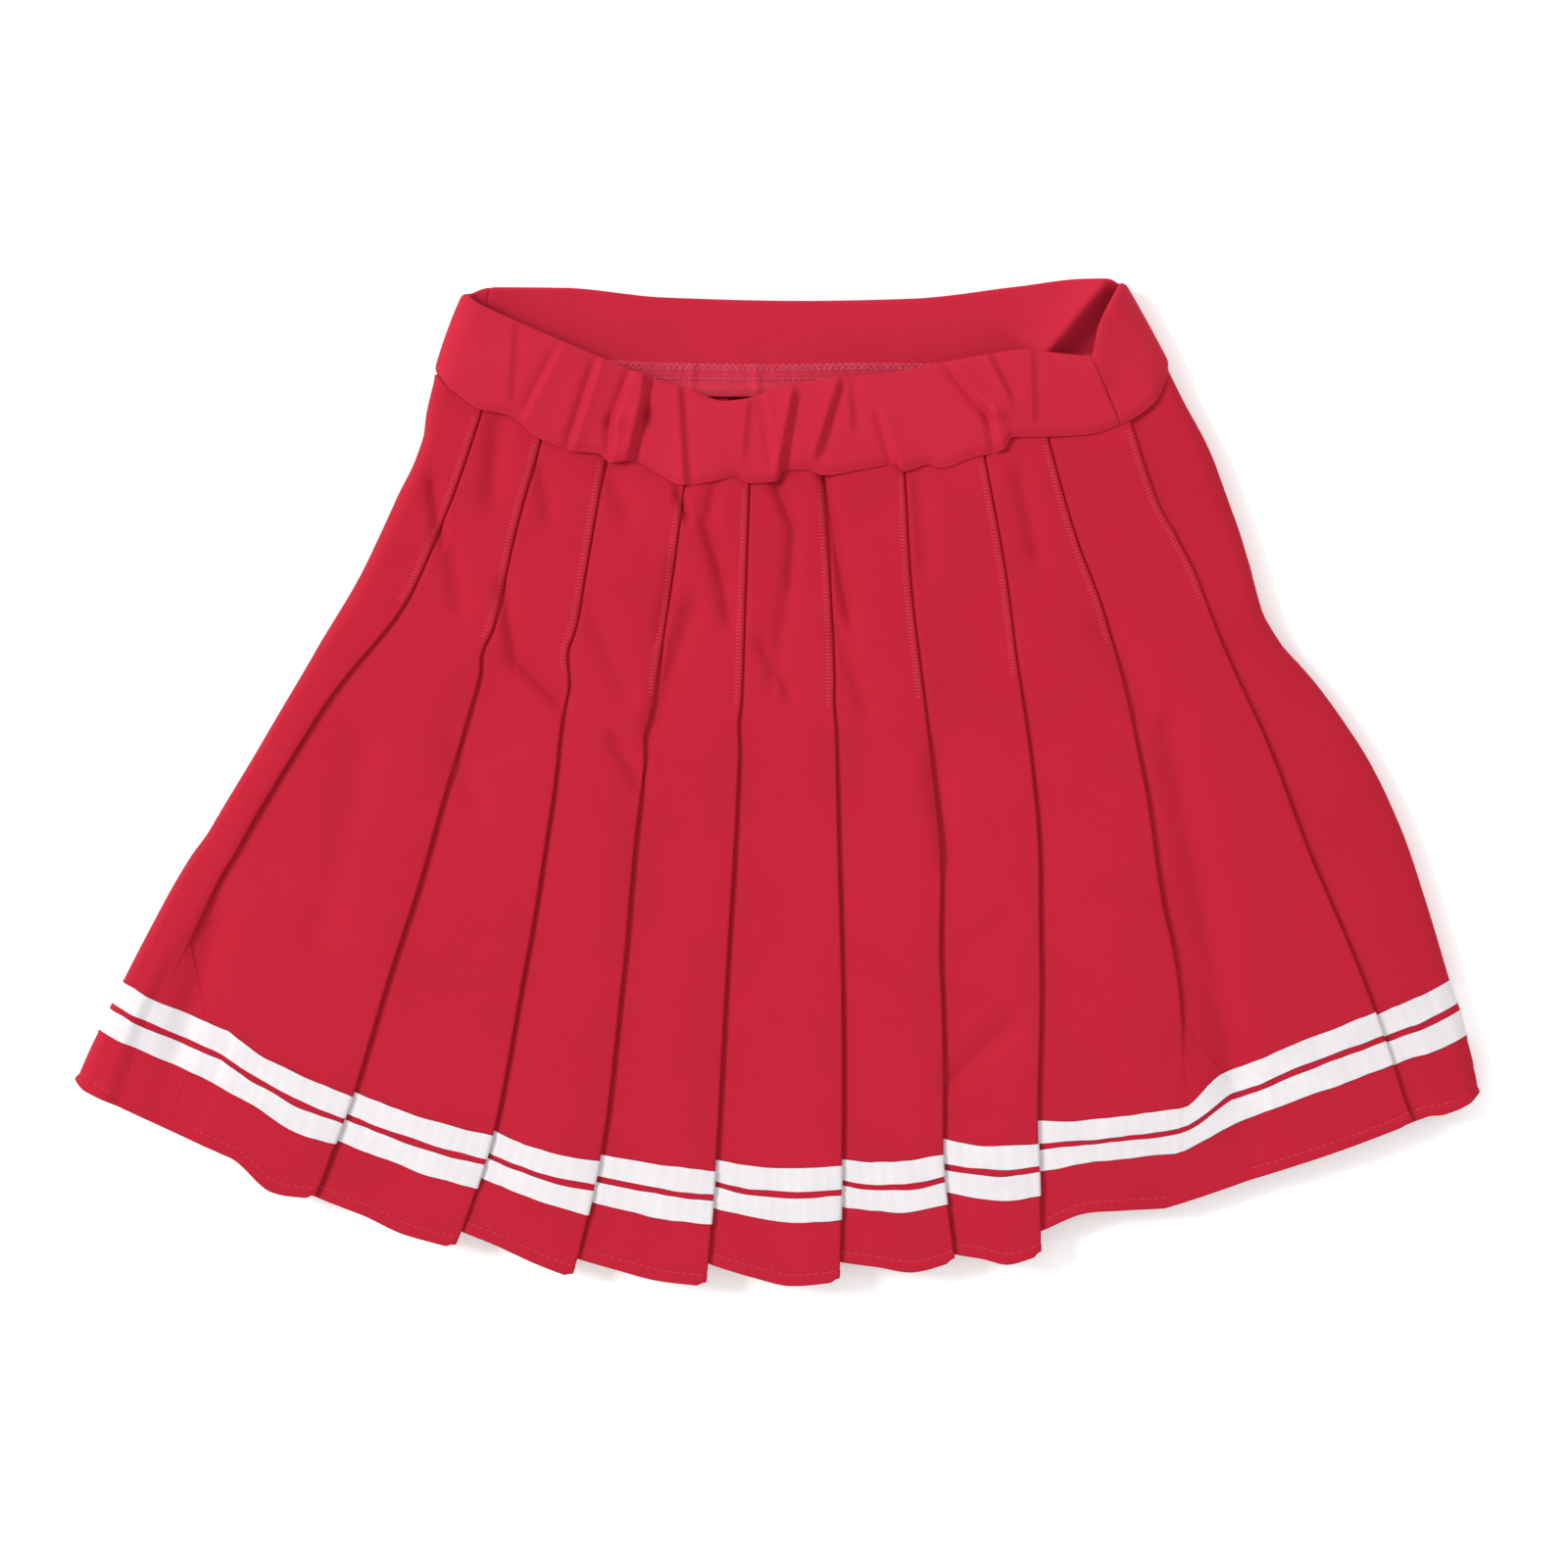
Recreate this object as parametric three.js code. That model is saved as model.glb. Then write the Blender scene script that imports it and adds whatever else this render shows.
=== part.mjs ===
// Pleated cheer skirt, lying flat on its back with the front uppermost. Millimetres, +Z up, +Y towards the waist.
//
// The cloth is made of gores, one for each knife pleat, eleven in front and eleven behind. A gore has four stretches:
// an underlay tucked behind its left neighbour, a visible face, an outer fold, and a return that goes back under the
// face and meets the next gore's underlay at a hidden seam. Two ribbons run round the skirt above the hem and follow
// every fold. The gores hang from a folded waistband: a gathered casing with elastic in it, and a smooth casing with
// interfacing in it, joined near the side folds.
//
// Every piece is a thin slab: a grid of points on a middle surface, pushed half a thickness to each side and closed
// round its four borders.
import * as THREE from "three";

// ---- Driving dimensions ----------------------------------------------------------------------------------------
const HEM_WIDTH = 573; // flat width across the hem
const WAIST_SEAM_WIDTH = 301; // flat width where the gores meet the waistband
const FRONT_LENGTH = 321; // waist seam to hem, down the middle of the front
const BACK_RISE = 39.5; // how much higher the waist seam lies at the back
const BACK_HEM_LIFT = 9; // how much the back hem stops short of the front hem
const SEAM_TO_CENTRE = 122; // from the frame's middle to the front waist seam
const SIDE_SEAM_Y = 168; // where the waist seam meets the side folds
const SIDE_HEM_Y = -121; // where the hem meets the side folds
const WAIST_SHIFT = 11.5; // the waist lies this far to the right of the hem's middle
const WAIST_TILT = 2.5; // and its right end this much above level, its left end below
const BAND_HEIGHT = 35; // height of the waistband
const BAND_LEAN = 0.36; // how far its ends lean inwards, per mm of height

const CLOTH = 0.8; // thickness of the cloth
const GAP = 0.3; // clearance between pieces that touch
const PLY_GAP = 0.4; // clearance between a face and the return beneath it
const SEAM_CLEAR = 0.5; // clearance between the gores and the waistband, whose seam is drawn in short straight lines
const INSIDE = 8.7; // free height between the front and the back
const RIBBON_WIDTH = 10;
const RIBBON_THICKNESS = 0.4;
const RIBBON_SPACING = 2.5; // cloth showing between the two ribbons
const RIBBON_TO_HEM = 25; // cloth showing below the lower ribbon
const ELASTIC_WIDTH = 30;
const ELASTIC_THICKNESS = 1.2;
const INTERFACING_THICKNESS = 0.6;
const ALLOWANCE = 8; // width of the serged seam allowances
const UNDERLAY_WAIST = 9; // how deep a pleat tucks under its neighbour at the waist
const UNDERLAY_HEM = 24; // and at the hem
const HEM_STEP = 8; // how far a pleat's outer corner hangs below its inner one
const SIDE_CURVE = 8; // widest rounding of the side folds

// Outer fold of each pleat in front, as a share of the half width (-1 left fold, 1 right fold), at four stations.
const STATIONS = [0, 0.27, 0.63, 1]; // waist seam, end of the stitched part, halfway down the free part, hem
const FRONT_FOLDS = [
  [-0.88, -0.9, -0.95, -0.92],
  [-0.72, -0.71, -0.67, -0.66],
  [-0.545, -0.535, -0.465, -0.455],
  [-0.33, -0.34, -0.305, -0.29],
  [-0.155, -0.145, -0.13, -0.1],
  [0.045, 0.065, 0.065, 0.085],
  [0.265, 0.26, 0.235, 0.245],
  [0.48, 0.475, 0.4, 0.375],
  [0.655, 0.685, 0.62, 0.59],
  [0.88, 0.89, 0.86, 0.9],
];
const PLEATS = FRONT_FOLDS.length + 1;
const FLARE = [0, 0.215, 0.67, 1]; // share of the extra hem width gained at each station
const CLOTH_ROWS = [0.13, 0.27, 0.42, 0.58, 0.74]; // rows of points between the waist seam and the ribbons

// ---- Levels worked out from them -------------------------------------------------------------------------------
const RIBBON_BED = 3 * GAP + 2 * RIBBON_THICKNESS; // room between underlay and return for two plies of ribbon
const LOW = CLOTH / 2; // middle of an underlay, above the inside face of its layer
const MID = CLOTH + RIBBON_BED + CLOTH / 2; // middle of a return
const HIGH = MID + CLOTH + PLY_GAP; // middle of a face where it lies over a return
const STACK = HIGH + CLOTH / 2; // three plies of cloth and the ribbons between them
const RIBBON_OFFSET = CLOTH / 2 + GAP + RIBBON_THICKNESS / 2; // middle of the ribbon from the middle of the cloth
const FRONT_BASE = STACK + INSIDE; // inside face of the front
const SIDE_LEVEL = STACK + INSIDE / 2; // height of the side seams
const OUTER_FOLD = (HIGH - MID) / 2;
const INNER_FOLD = (MID - LOW) / 2;
const CASING_DEPTH = 1.3; // from the middle of the band to the middle of each of its plies
const HALF_SEAM = WAIST_SEAM_WIDTH / 2;

// ---- Small helpers ---------------------------------------------------------------------------------------------
const mix = (a, b, share) => a + (b - a) * share;
const range = (count) => Array.from({ length: count }, (_, i) => i);
const spaced = (from, to, count) => range(count).map((i) => mix(from, to, i / (count - 1)));

// A smooth curve through values at the stations: cubic pieces whose slopes come from the neighbouring stations.
function along(values, t) {
  const last = STATIONS.length - 1;
  const i = Math.max(0, Math.min(last - 1, STATIONS.findLastIndex((s) => s <= t)));
  const slope = (k) => {
    const a = Math.max(0, k - 1);
    const b = Math.min(last, k + 1);
    return (values[b] - values[a]) / (STATIONS[b] - STATIONS[a]);
  };
  const span = STATIONS[i + 1] - STATIONS[i];
  const u = (t - STATIONS[i]) / span;
  const rise = values[i + 1] - values[i];
  const start = slope(i) * span - rise;
  const end = rise - slope(i + 1) * span;
  return values[i] + rise * u + u * (1 - u) * ((1 - u) * start + u * end);
}

// A line of points pushed sideways, to its left, by a distance, with mitred corners. Extra values ride along.
function offsetLine(line, distance) {
  return line.map(([x, h, ...rest], i) => {
    const before = line[Math.max(0, i - 1)];
    const here = line[i];
    const after = line[Math.min(line.length - 1, i + 1)];
    const normals = [
      [before, here],
      [here, after],
    ]
      .filter(([p, q]) => p !== q)
      .map(([p, q]) => {
        const length = Math.hypot(q[0] - p[0], q[1] - p[1]);
        return [-(q[1] - p[1]) / length, (q[0] - p[0]) / length];
      });
    const [nx, nh] = normals.reduce((a, b) => [a[0] + b[0], a[1] + b[1]]);
    const scale = (distance * normals.length) / (nx * nx + nh * nh);
    return [x + nx * scale, h + nh * scale, ...rest];
  });
}

// A closed slab between two grids of points, grid[row][column].
function slab(top, bottom) {
  const rows = top.length;
  const columns = top[0].length;
  const points = [top, bottom].flat(2).flatMap((p) => p.toArray());
  const at = (side, row, column) => side * rows * columns + row * columns + column;
  const index = [];
  const quad = (a, b, c, d) => index.push(a, b, c, a, c, d);
  for (let r = 0; r + 1 < rows; r++) {
    for (let c = 0; c + 1 < columns; c++) {
      quad(at(0, r, c), at(0, r + 1, c), at(0, r + 1, c + 1), at(0, r, c + 1));
      quad(at(1, r, c), at(1, r, c + 1), at(1, r + 1, c + 1), at(1, r + 1, c));
    }
    quad(at(0, r, 0), at(1, r, 0), at(1, r + 1, 0), at(0, r + 1, 0));
    const e = columns - 1;
    quad(at(0, r, e), at(0, r + 1, e), at(1, r + 1, e), at(1, r, e));
  }
  for (let c = 0; c + 1 < columns; c++) {
    quad(at(0, 0, c), at(0, 0, c + 1), at(1, 0, c + 1), at(1, 0, c));
    const e = rows - 1;
    quad(at(0, e, c), at(1, e, c), at(1, e, c + 1), at(0, e, c + 1));
  }
  return facingOut(points, index);
}

// The geometry of a closed surface, turned so that its faces point out: its signed volume has to be positive.
function facingOut(points, index) {
  const [a, b, c] = [0, 1, 2].map(() => new THREE.Vector3());
  let volume = 0;
  for (let i = 0; i < index.length; i += 3) {
    a.fromArray(points, index[i] * 3);
    b.fromArray(points, index[i + 1] * 3);
    c.fromArray(points, index[i + 2] * 3);
    volume += a.dot(b.cross(c));
  }
  const geometry = new THREE.BufferGeometry();
  geometry.setAttribute("position", new THREE.Float32BufferAttribute(points, 3));
  geometry.setIndex(volume < 0 ? index.toReversed() : index);
  geometry.computeVertexNormals();
  return geometry;
}

// ---- The two layers of the skirt -------------------------------------------------------------------------------
const halfWidth = (t) => mix(HALF_SEAM, HEM_WIDTH / 2, along(FLARE, t));
const centreX = (t) => WAIST_SHIFT * (1 - t ** 4);
const hemWeight = (t) => Math.max(0, (t - 0.6) / 0.4) ** 1.5;
const SEAM_ALLOWANCE_ROOM = CLOTH + GAP;

// A layer maps (t down the skirt, x across it seen from outside, h outwards from its inside face) to a point.
function makeLayer({ name, facing, folds, seamY, length, riseAtEnd, base }) {
  const hemY = seamY - length;
  return {
    name,
    folds: [[-1, -1, -1, -1], ...folds, [1, 1, 1, 1]],
    length,
    riseAtEnd,
    sideEnd: (t) => facing * (SIDE_LEVEL - base(t)) + GAP / 2,
    fold(k, t) {
      return halfWidth(t) * along(this.folds[k], t);
    },
    // The rows that the ribbons' edges lie on are measured up from the hem.
    fromHem: (distance) => 1 - distance / length,
    place(t, [x, h, corner = 0]) {
      const share = x / halfWidth(t);
      const sideY = mix(SIDE_SEAM_Y, SIDE_HEM_Y, t);
      const middleY = mix(seamY, hemY, t);
      const tilt = facing * WAIST_TILT * share * (1 - t);
      const y = mix(middleY, sideY, share ** 2) + tilt - HEM_STEP * hemWeight(t) * corner;
      return new THREE.Vector3(centreX(t) + facing * x, y, base(t) + facing * h);
    },
  };
}

const BACK_LENGTH = FRONT_LENGTH + BACK_RISE - BACK_HEM_LIFT;
const RIBBON_TOP = RIBBON_TO_HEM + 2 * RIBBON_WIDTH + RIBBON_SPACING;
const RIBBON_MARGIN = 0.5; // the cloth's rows of points lie this far outside the ribbons
const front = makeLayer({
  name: "front",
  facing: 1,
  folds: FRONT_FOLDS,
  seamY: SEAM_TO_CENTRE,
  length: FRONT_LENGTH,
  riseAtEnd: true, // gravity lets each face lie low and climb only onto the next pleat
  base: () => FRONT_BASE,
});
const back = makeLayer({
  name: "back",
  facing: -1,
  folds: range(PLEATS - 1).map((i) => STATIONS.map(() => (2 * (i + 1)) / PLEATS - 1)),
  seamY: SEAM_TO_CENTRE + BACK_RISE,
  length: BACK_LENGTH,
  riseAtEnd: false, // its faces lie on the floor, and step up at once behind the neighbour's fold
  // The ribbons are under the cloth here, so it is lifted by their thickness where they run.
  base: (t) => {
    const up = (1 - t) * BACK_LENGTH;
    const onRibbons = up > RIBBON_TO_HEM - 2 * RIBBON_MARGIN && up < RIBBON_TOP + 2 * RIBBON_MARGIN;
    return STACK + (onRibbons ? GAP + RIBBON_THICKNESS : 0);
  },
});

// How deep the pleat at fold k tucks under, never more than its face has room for.
function underlay(layer, k, t) {
  const room = 0.42 * (layer.fold(k, t) - layer.fold(k - 1, t));
  return Math.min(mix(UNDERLAY_WAIST, UNDERLAY_HEM, t), room);
}

// How a face turns into the side fold: a short upright stretch from the side seam, then a quarter ellipse to a level.
// The hem doesn't step there.
const SIDE_UPRIGHT = 1.4;
function sideCurve(layer, t, edge, inwards, width, level) {
  const end = layer.sideEnd(t);
  const reach = Math.min(SIDE_CURVE, 0.3 * width);
  const start = edge + (inwards * CLOTH) / 2;
  const quarter = [0, 30, 60, 90].map((degrees) => {
    const angle = THREE.MathUtils.degToRad(degrees);
    const h = mix(end + SIDE_UPRIGHT, level, Math.sin(angle));
    return [start + inwards * reach * (1 - Math.cos(angle)), h];
  });
  return [[start, end], ...quarter].map((point) => [...point, 0]);
}

// Middle line of gore k (1 to PLEATS) across the skirt: points of x, height, and share of the hem step. The seam and
// the hem are curved, so the long stretch of a face has a point halfway.
const UPPER = -0.15; // share of the hem step at the inner end of a gore's face
const LOWER = 0.85; // and at its outer corner
const FOLD_CLEAR = 2.2; // keeps a slope off the outer fold beside it
const STEP_APART = 0.05; // a face's middle point comes at least this far before its climb
function goreLine(layer, k, t) {
  const left = layer.fold(k - 1, t);
  const right = layer.fold(k, t);
  const width = right - left;
  const run = Math.min(6, 0.2 * width); // length of the slope between the two levels
  const clear = INNER_FOLD + 1.4; // keeps a slope off the inner fold beside it
  const onFace = (x, h) => [x, h, mix(UPPER, LOWER, (x - left) / width)];
  const climbs = layer.riseAtEnd && k > 1 && k < PLEATS;
  const low = layer.riseAtEnd && k > 1;
  const level = low ? LOW : HIGH;

  const line = [];
  if (k === 1) {
    line.push(...sideCurve(layer, t, left, 1, width, level));
  } else {
    const inner = left - underlay(layer, k - 1, t);
    line.push([inner, MID, UPPER], [inner - INNER_FOLD, (MID + LOW) / 2, UPPER], [inner, LOW, UPPER]);
    if (!low) line.push([left + FOLD_CLEAR, LOW, UPPER], [left + FOLD_CLEAR + run, HIGH, UPPER]);
  }
  const end = right - (k < PLEATS ? underlay(layer, k, t) : 0);
  const climb = end - clear - run;
  const halfway = (left + right) / 2;
  line.push(onFace(climbs ? Math.min(halfway - (right - end) / 2, climb - STEP_APART) : halfway, level));
  if (k === PLEATS) {
    line.push(...sideCurve(layer, t, right, -1, width, level).toReversed());
    return line;
  }
  if (climbs) line.push(onFace(climb, LOW), onFace(end - clear, HIGH));
  const centre = right - OUTER_FOLD - CLOTH / 2;
  line.push([centre, HIGH, LOWER], [centre + OUTER_FOLD, (HIGH + MID) / 2, LOWER], [centre, MID, LOWER]);
  line.push([end + 2 * GAP, MID, UPPER]);
  return line;
}

// A slab whose cross-sections are a line pushed to both sides, one cross-section for each row t.
function sweptSlab(layer, rows, lineAt, offset, thickness) {
  const side = (distance) =>
    rows.map((t) => offsetLine(lineAt(t), distance).map((point) => layer.place(t, point)));
  return slab(side(offset + thickness / 2), side(offset - thickness / 2));
}

function clothRows(layer) {
  const ribbonEdges = [RIBBON_TOP + RIBBON_MARGIN, RIBBON_TO_HEM - RIBBON_MARGIN].map(layer.fromHem);
  return [SEAM_CLEAR / layer.length, ...CLOTH_ROWS, ...ribbonEdges, 1];
}

// A ribbon's line joins the lines of all gores; each return runs straight on into the next gore's underlay. Between
// the rows of the cloth it keeps to the straight stretch from one row to the next.
function ribbonLine(layer, t) {
  const [upper, lower] = [RIBBON_TOP + RIBBON_MARGIN, RIBBON_TO_HEM - RIBBON_MARGIN].map(layer.fromHem);
  const whole = (row) =>
    range(PLEATS).flatMap((i) => goreLine(layer, i + 1, row).slice(0, i + 1 < PLEATS ? -1 : undefined));
  const [a, b] = [whole(upper), whole(lower)];
  const share = (t - upper) / (lower - upper);
  return a.map((point, i) => point.map((value, j) => mix(value, b[i][j], share)));
}

function gores(layer, material) {
  return range(PLEATS).map((i) => {
    const line = (t) => goreLine(layer, i + 1, t);
    const geometry = sweptSlab(layer, clothRows(layer), line, 0, CLOTH);
    return named(`${layer.name}_panel_${String(i + 1).padStart(2, "0")}`, geometry, material);
  });
}

function ribbons(layer, material) {
  const lowest = { lower: RIBBON_TO_HEM, upper: RIBBON_TO_HEM + RIBBON_WIDTH + RIBBON_SPACING };
  return Object.entries(lowest).map(([name, bottom]) => {
    const rows = [bottom + RIBBON_WIDTH, bottom].map(layer.fromHem);
    const line = (t) => ribbonLine(layer, t);
    const geometry = sweptSlab(layer, rows, line, RIBBON_OFFSET, RIBBON_THICKNESS);
    return named(`${layer.name}_ribbon_${name}`, geometry, material);
  });
}

// The serged edges of a side seam lie flat inside the side fold, in one strip.
function sideAllowance(name, edge, material) {
  const rows = [0.02, ...clothRows(front).slice(1, -1), 0.98];
  const strip = (t) => {
    const start = edge * (halfWidth(t) - SEAM_ALLOWANCE_ROOM);
    return [start, start - edge * ALLOWANCE].map((x) => [x, SIDE_LEVEL - FRONT_BASE]);
  };
  return named(name, sweptSlab(front, rows, strip, 0, CLOTH), material);
}

// ---- The waistband ---------------------------------------------------------------------------------------------
// The band is a flattened ring. A station of it says where it is across the skirt: share along the straight side,
// angle round a side fold (0 in front, PI behind), and which fold.
const BAND_MIDDLE = STACK / 2;
const BAND_RADIUS = (FRONT_BASE - STACK) / 2 + BAND_MIDDLE;
const FRONT_STATIONS = 20;
const FOLD_STATIONS = 6;

function bandFrame({ across, angle, fold }) {
  const outwards = fold * Math.sin(angle);
  const x = across * (HALF_SEAM - BAND_RADIUS) + outwards * BAND_RADIUS;
  const share = x / HALF_SEAM;
  const seamY = mix(SEAM_TO_CENTRE, SEAM_TO_CENTRE + BACK_RISE, (1 - Math.cos(angle)) / 2);
  const y = mix(seamY, SIDE_SEAM_Y, share ** 2) + WAIST_TILT * share;
  // A step outwards also follows the slope of the seam, so that both plies of the band end on it.
  const slope = (2 * share * (SIDE_SEAM_Y - seamY) + WAIST_TILT) / HALF_SEAM;
  const normal = new THREE.Vector3(outwards, slope * outwards, Math.cos(angle));
  const bottom = new THREE.Vector3(WAIST_SHIFT + x, y, SIDE_LEVEL + Math.cos(angle) * BAND_RADIUS);
  const up = new THREE.Vector3(-BAND_LEAN * share, 1, 0).normalize();
  return { bottom, up, normal };
}

const frontSide = (from, to, count) => spaced(from, to, count).map((across) => ({ across, angle: 0, fold: 1 }));
const backSide = (from, to, count) =>
  spaced(from, to, count).map((across) => ({ across, angle: Math.PI, fold: 1 }));
const roundFold = (fold, from, to) =>
  spaced(from, to, FOLD_STATIONS + 2)
    .slice(1, -1)
    .map((angle) => ({ across: fold, angle, fold }));

const RIGHT_JOIN = 0.9; // where the gathered casing ends on the front
const LEFT_JOIN = -0.92; // and, having gone round the left fold, on the back
const GATHERED = [
  ...frontSide(RIGHT_JOIN, -1, FRONT_STATIONS),
  ...roundFold(-1, 0, Math.PI),
  ...backSide(-1, LEFT_JOIN, 2),
];
const SMOOTH = [
  ...backSide(LEFT_JOIN, 1, FRONT_STATIONS),
  ...roundFold(1, Math.PI, 0),
  ...frontSide(1, RIGHT_JOIN, 2),
];

// A slab along the band: the section's points are height up the band and distance outwards from its middle. Its two
// ends are pulled in by a margin.
function bandSlab(stations, section, thickness, margin) {
  const frames = stations.map(bandFrame);
  pullIn(frames[0].bottom, frames[1].bottom, margin);
  pullIn(frames.at(-1).bottom, frames.at(-2).bottom, margin);
  const side = (distance) =>
    frames.map(({ bottom, up, normal }) =>
      offsetLine(section, distance).map(([height, out]) =>
        bottom.clone().addScaledVector(up, height).addScaledVector(normal, out),
      ),
    );
  return slab(side(thickness / 2), side(-thickness / 2));
}

function pullIn(point, neighbour, margin) {
  point.lerp(neighbour, margin / point.distanceTo(neighbour));
}

// The casing is one length of cloth folded over at the top of the band and open at its seam.
function casingSection() {
  const top = BAND_HEIGHT - CASING_DEPTH - CLOTH / 2;
  const arc = spaced(-90, 90, 5).map((degrees) => {
    const angle = THREE.MathUtils.degToRad(degrees);
    return [top + CASING_DEPTH * Math.cos(angle), CASING_DEPTH * Math.sin(angle)];
  });
  return [[0, -CASING_DEPTH], ...arc, [0, CASING_DEPTH]];
}

function waistband(cloth, elastic, interfacing) {
  const inner = (BAND_HEIGHT - ELASTIC_WIDTH) / 2;
  const filling = [
    [inner, 0],
    [inner + ELASTIC_WIDTH, 0],
  ];
  return [
    named("waistband_gathered_casing", bandSlab(GATHERED, casingSection(), CLOTH, GAP / 2), cloth),
    named("waistband_smooth_casing", bandSlab(SMOOTH, casingSection(), CLOTH, GAP / 2), cloth),
    named("waist_elastic", bandSlab(GATHERED, filling, ELASTIC_THICKNESS, 1), elastic),
    named("waistband_interfacing", bandSlab(SMOOTH, filling, INTERFACING_THICKNESS, 1), interfacing),
  ];
}

// The serged waist seam allowances are pressed up against the inside of the band, one in front and one behind.
function waistAllowances(material) {
  const inside = -(CASING_DEPTH + CLOTH / 2 + GAP + CLOTH / 2);
  const section = [
    [GAP, inside],
    [GAP + ALLOWANCE, inside],
  ];
  return [
    named("front_waist_seam_allowance", bandSlab(frontSide(0.95, -0.95, 16), section, CLOTH, 0), material),
    named("back_waist_seam_allowance", bandSlab(backSide(-0.95, 0.95, 16), section, CLOTH, 0), material),
  ];
}

// ---- The skirt -------------------------------------------------------------------------------------------------
function named(name, geometry, material) {
  const mesh = new THREE.Mesh(geometry, material);
  mesh.name = name;
  return mesh;
}

const red = new THREE.MeshStandardMaterial({ color: 0xc8243a, roughness: 0.75, metalness: 0 });
const white = new THREE.MeshStandardMaterial({ color: 0xf4eef4, roughness: 0.5, metalness: 0 });
const elasticWhite = new THREE.MeshStandardMaterial({ color: 0xe9e6e2, roughness: 0.85, metalness: 0 });
const serged = new THREE.MeshStandardMaterial({ color: 0xd83a54, roughness: 0.85, metalness: 0 });
const stiffener = new THREE.MeshStandardMaterial({ color: 0xddd8d6, roughness: 0.9, metalness: 0 });

const skirt = new THREE.Group();
for (const layer of [front, back]) {
  skirt.add(...gores(layer, red), ...ribbons(layer, white));
}
skirt.add(sideAllowance("left_side_seam_allowance", -1, serged));
skirt.add(sideAllowance("right_side_seam_allowance", 1, serged));
skirt.add(...waistband(red, elasticWhite, stiffener));
skirt.add(...waistAllowances(serged));

// The frame's origin is the middle of the bottom of the skirt's box.
const box = new THREE.Box3().setFromObject(skirt);
const middle = box.getCenter(new THREE.Vector3());
skirt.position.set(-middle.x, -middle.y, -box.min.z);

export default skirt;
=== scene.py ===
import bpy
import numpy as np
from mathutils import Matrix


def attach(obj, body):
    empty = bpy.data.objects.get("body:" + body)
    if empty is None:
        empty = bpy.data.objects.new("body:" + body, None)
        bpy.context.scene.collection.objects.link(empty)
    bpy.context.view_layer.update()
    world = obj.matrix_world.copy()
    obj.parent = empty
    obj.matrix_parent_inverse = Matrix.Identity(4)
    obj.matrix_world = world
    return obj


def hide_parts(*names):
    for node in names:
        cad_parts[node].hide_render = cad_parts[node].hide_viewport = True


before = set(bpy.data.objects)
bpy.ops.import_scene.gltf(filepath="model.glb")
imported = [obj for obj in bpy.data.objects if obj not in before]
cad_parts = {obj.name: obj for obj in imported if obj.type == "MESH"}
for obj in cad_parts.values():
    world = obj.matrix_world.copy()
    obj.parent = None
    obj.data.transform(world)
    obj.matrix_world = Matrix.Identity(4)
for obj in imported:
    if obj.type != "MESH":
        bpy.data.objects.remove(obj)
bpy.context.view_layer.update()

# A pleated cheer skirt, lying flat on its back with the front uppermost. Everything is laid out in
# millimetres, with x across, y towards the waist and z up, and turned to metres when a mesh is made. Across
# a layer, t runs down the skirt from 0 at the waist seam to 1 at the hem, and share runs from -1 at the
# left fold to 1 at the right fold.
MM = 0.001
FRAME_SHIFT = np.array([0.0, 0.93, 0.0])  # from the layout below to the frame's middle
HALF_SEAM = 150.5  # half the flat width at the waist seam
HALF_HEM = 286.5  # and at the hem
WAIST_SHIFT = 11.5  # the waist lies this far to the right of the hem's middle
WAIST_TILT = 2.5  # and its right end this much above level
FRONT_SEAM_Y = 122.0  # the waist seam of the front, of the back, and where it meets the side folds
BACK_SEAM_Y = 161.5
SIDE_SEAM_Y = 168
SIDE_HEM_Y = -121
SIDE_LEVEL = 8.85  # height of the side folds
FRONT_BASE = 13.2  # inside of the front layer
BACK_BASE = 4.5  # inside of the back layer
CLOTH = 0.8  # thickness of the cloth
PANELS = 11  # in each layer
FRONT_LENGTH = 321.0  # waist seam to hem, down the middle
BACK_LENGTH = 351.5
UNDERLAY_WAIST = 9  # how deep a pleat tucks under its neighbour at the waist
UNDERLAY_HEM = 24  # and at the hem
FREED = (0.24, 0.34)  # where down the skirt the pleats go from stitched down to free
CROWN = 0.8  # how far the middle of a face stands up
SIDE_TURN = 9  # widest rounding of the side folds

# ---- Curves ----------------------------------------------------------------------------------------------


def through(at, stations, values):
    """Smooth curve through the values: cubic pieces, whose slope at a station is the harmonic mean of the
    slopes on its two sides, or level where those differ in sign, so that it never swings past a value."""
    xs = np.asarray(stations, float)
    ys = np.asarray(values, float)
    step = np.diff(xs)
    rise = np.diff(ys) / step
    product = rise[:-1] * rise[1:]
    total = rise[:-1] + rise[1:]
    middle = np.where(product > 0, 2 * product / np.where(total == 0, 1, total), 0)
    slope = np.concatenate([rise[:1], middle, rise[-1:]])
    at = np.clip(at, xs[0], xs[-1])
    i = np.clip(np.searchsorted(xs, at, side="right") - 1, 0, len(xs) - 2)
    u = (at - xs[i]) / step[i]
    ends = ys[i] * (1 - u) ** 2 * (1 + 2 * u) + ys[i + 1] * u**2 * (3 - 2 * u)
    return ends + step[i] * (slope[i] * u * (1 - u) ** 2 - slope[i + 1] * u**2 * (1 - u))


def curve(at, pairs):
    """The same through a list of (station, value) pairs."""
    stations, values = np.array(pairs, float).T
    return through(at, stations, values)


def ease(start, end, at):
    """0 before start, 1 after end, and an S-shaped rise between."""
    u = np.clip((at - start) / (end - start), 0, 1)
    return u * u * (3 - 2 * u)


def mix(a, b, share):
    """From a where share is 0 to b where it is 1."""
    return a + (b - a) * share


# ---- Where the pleats lie --------------------------------------------------------------------------------

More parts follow.
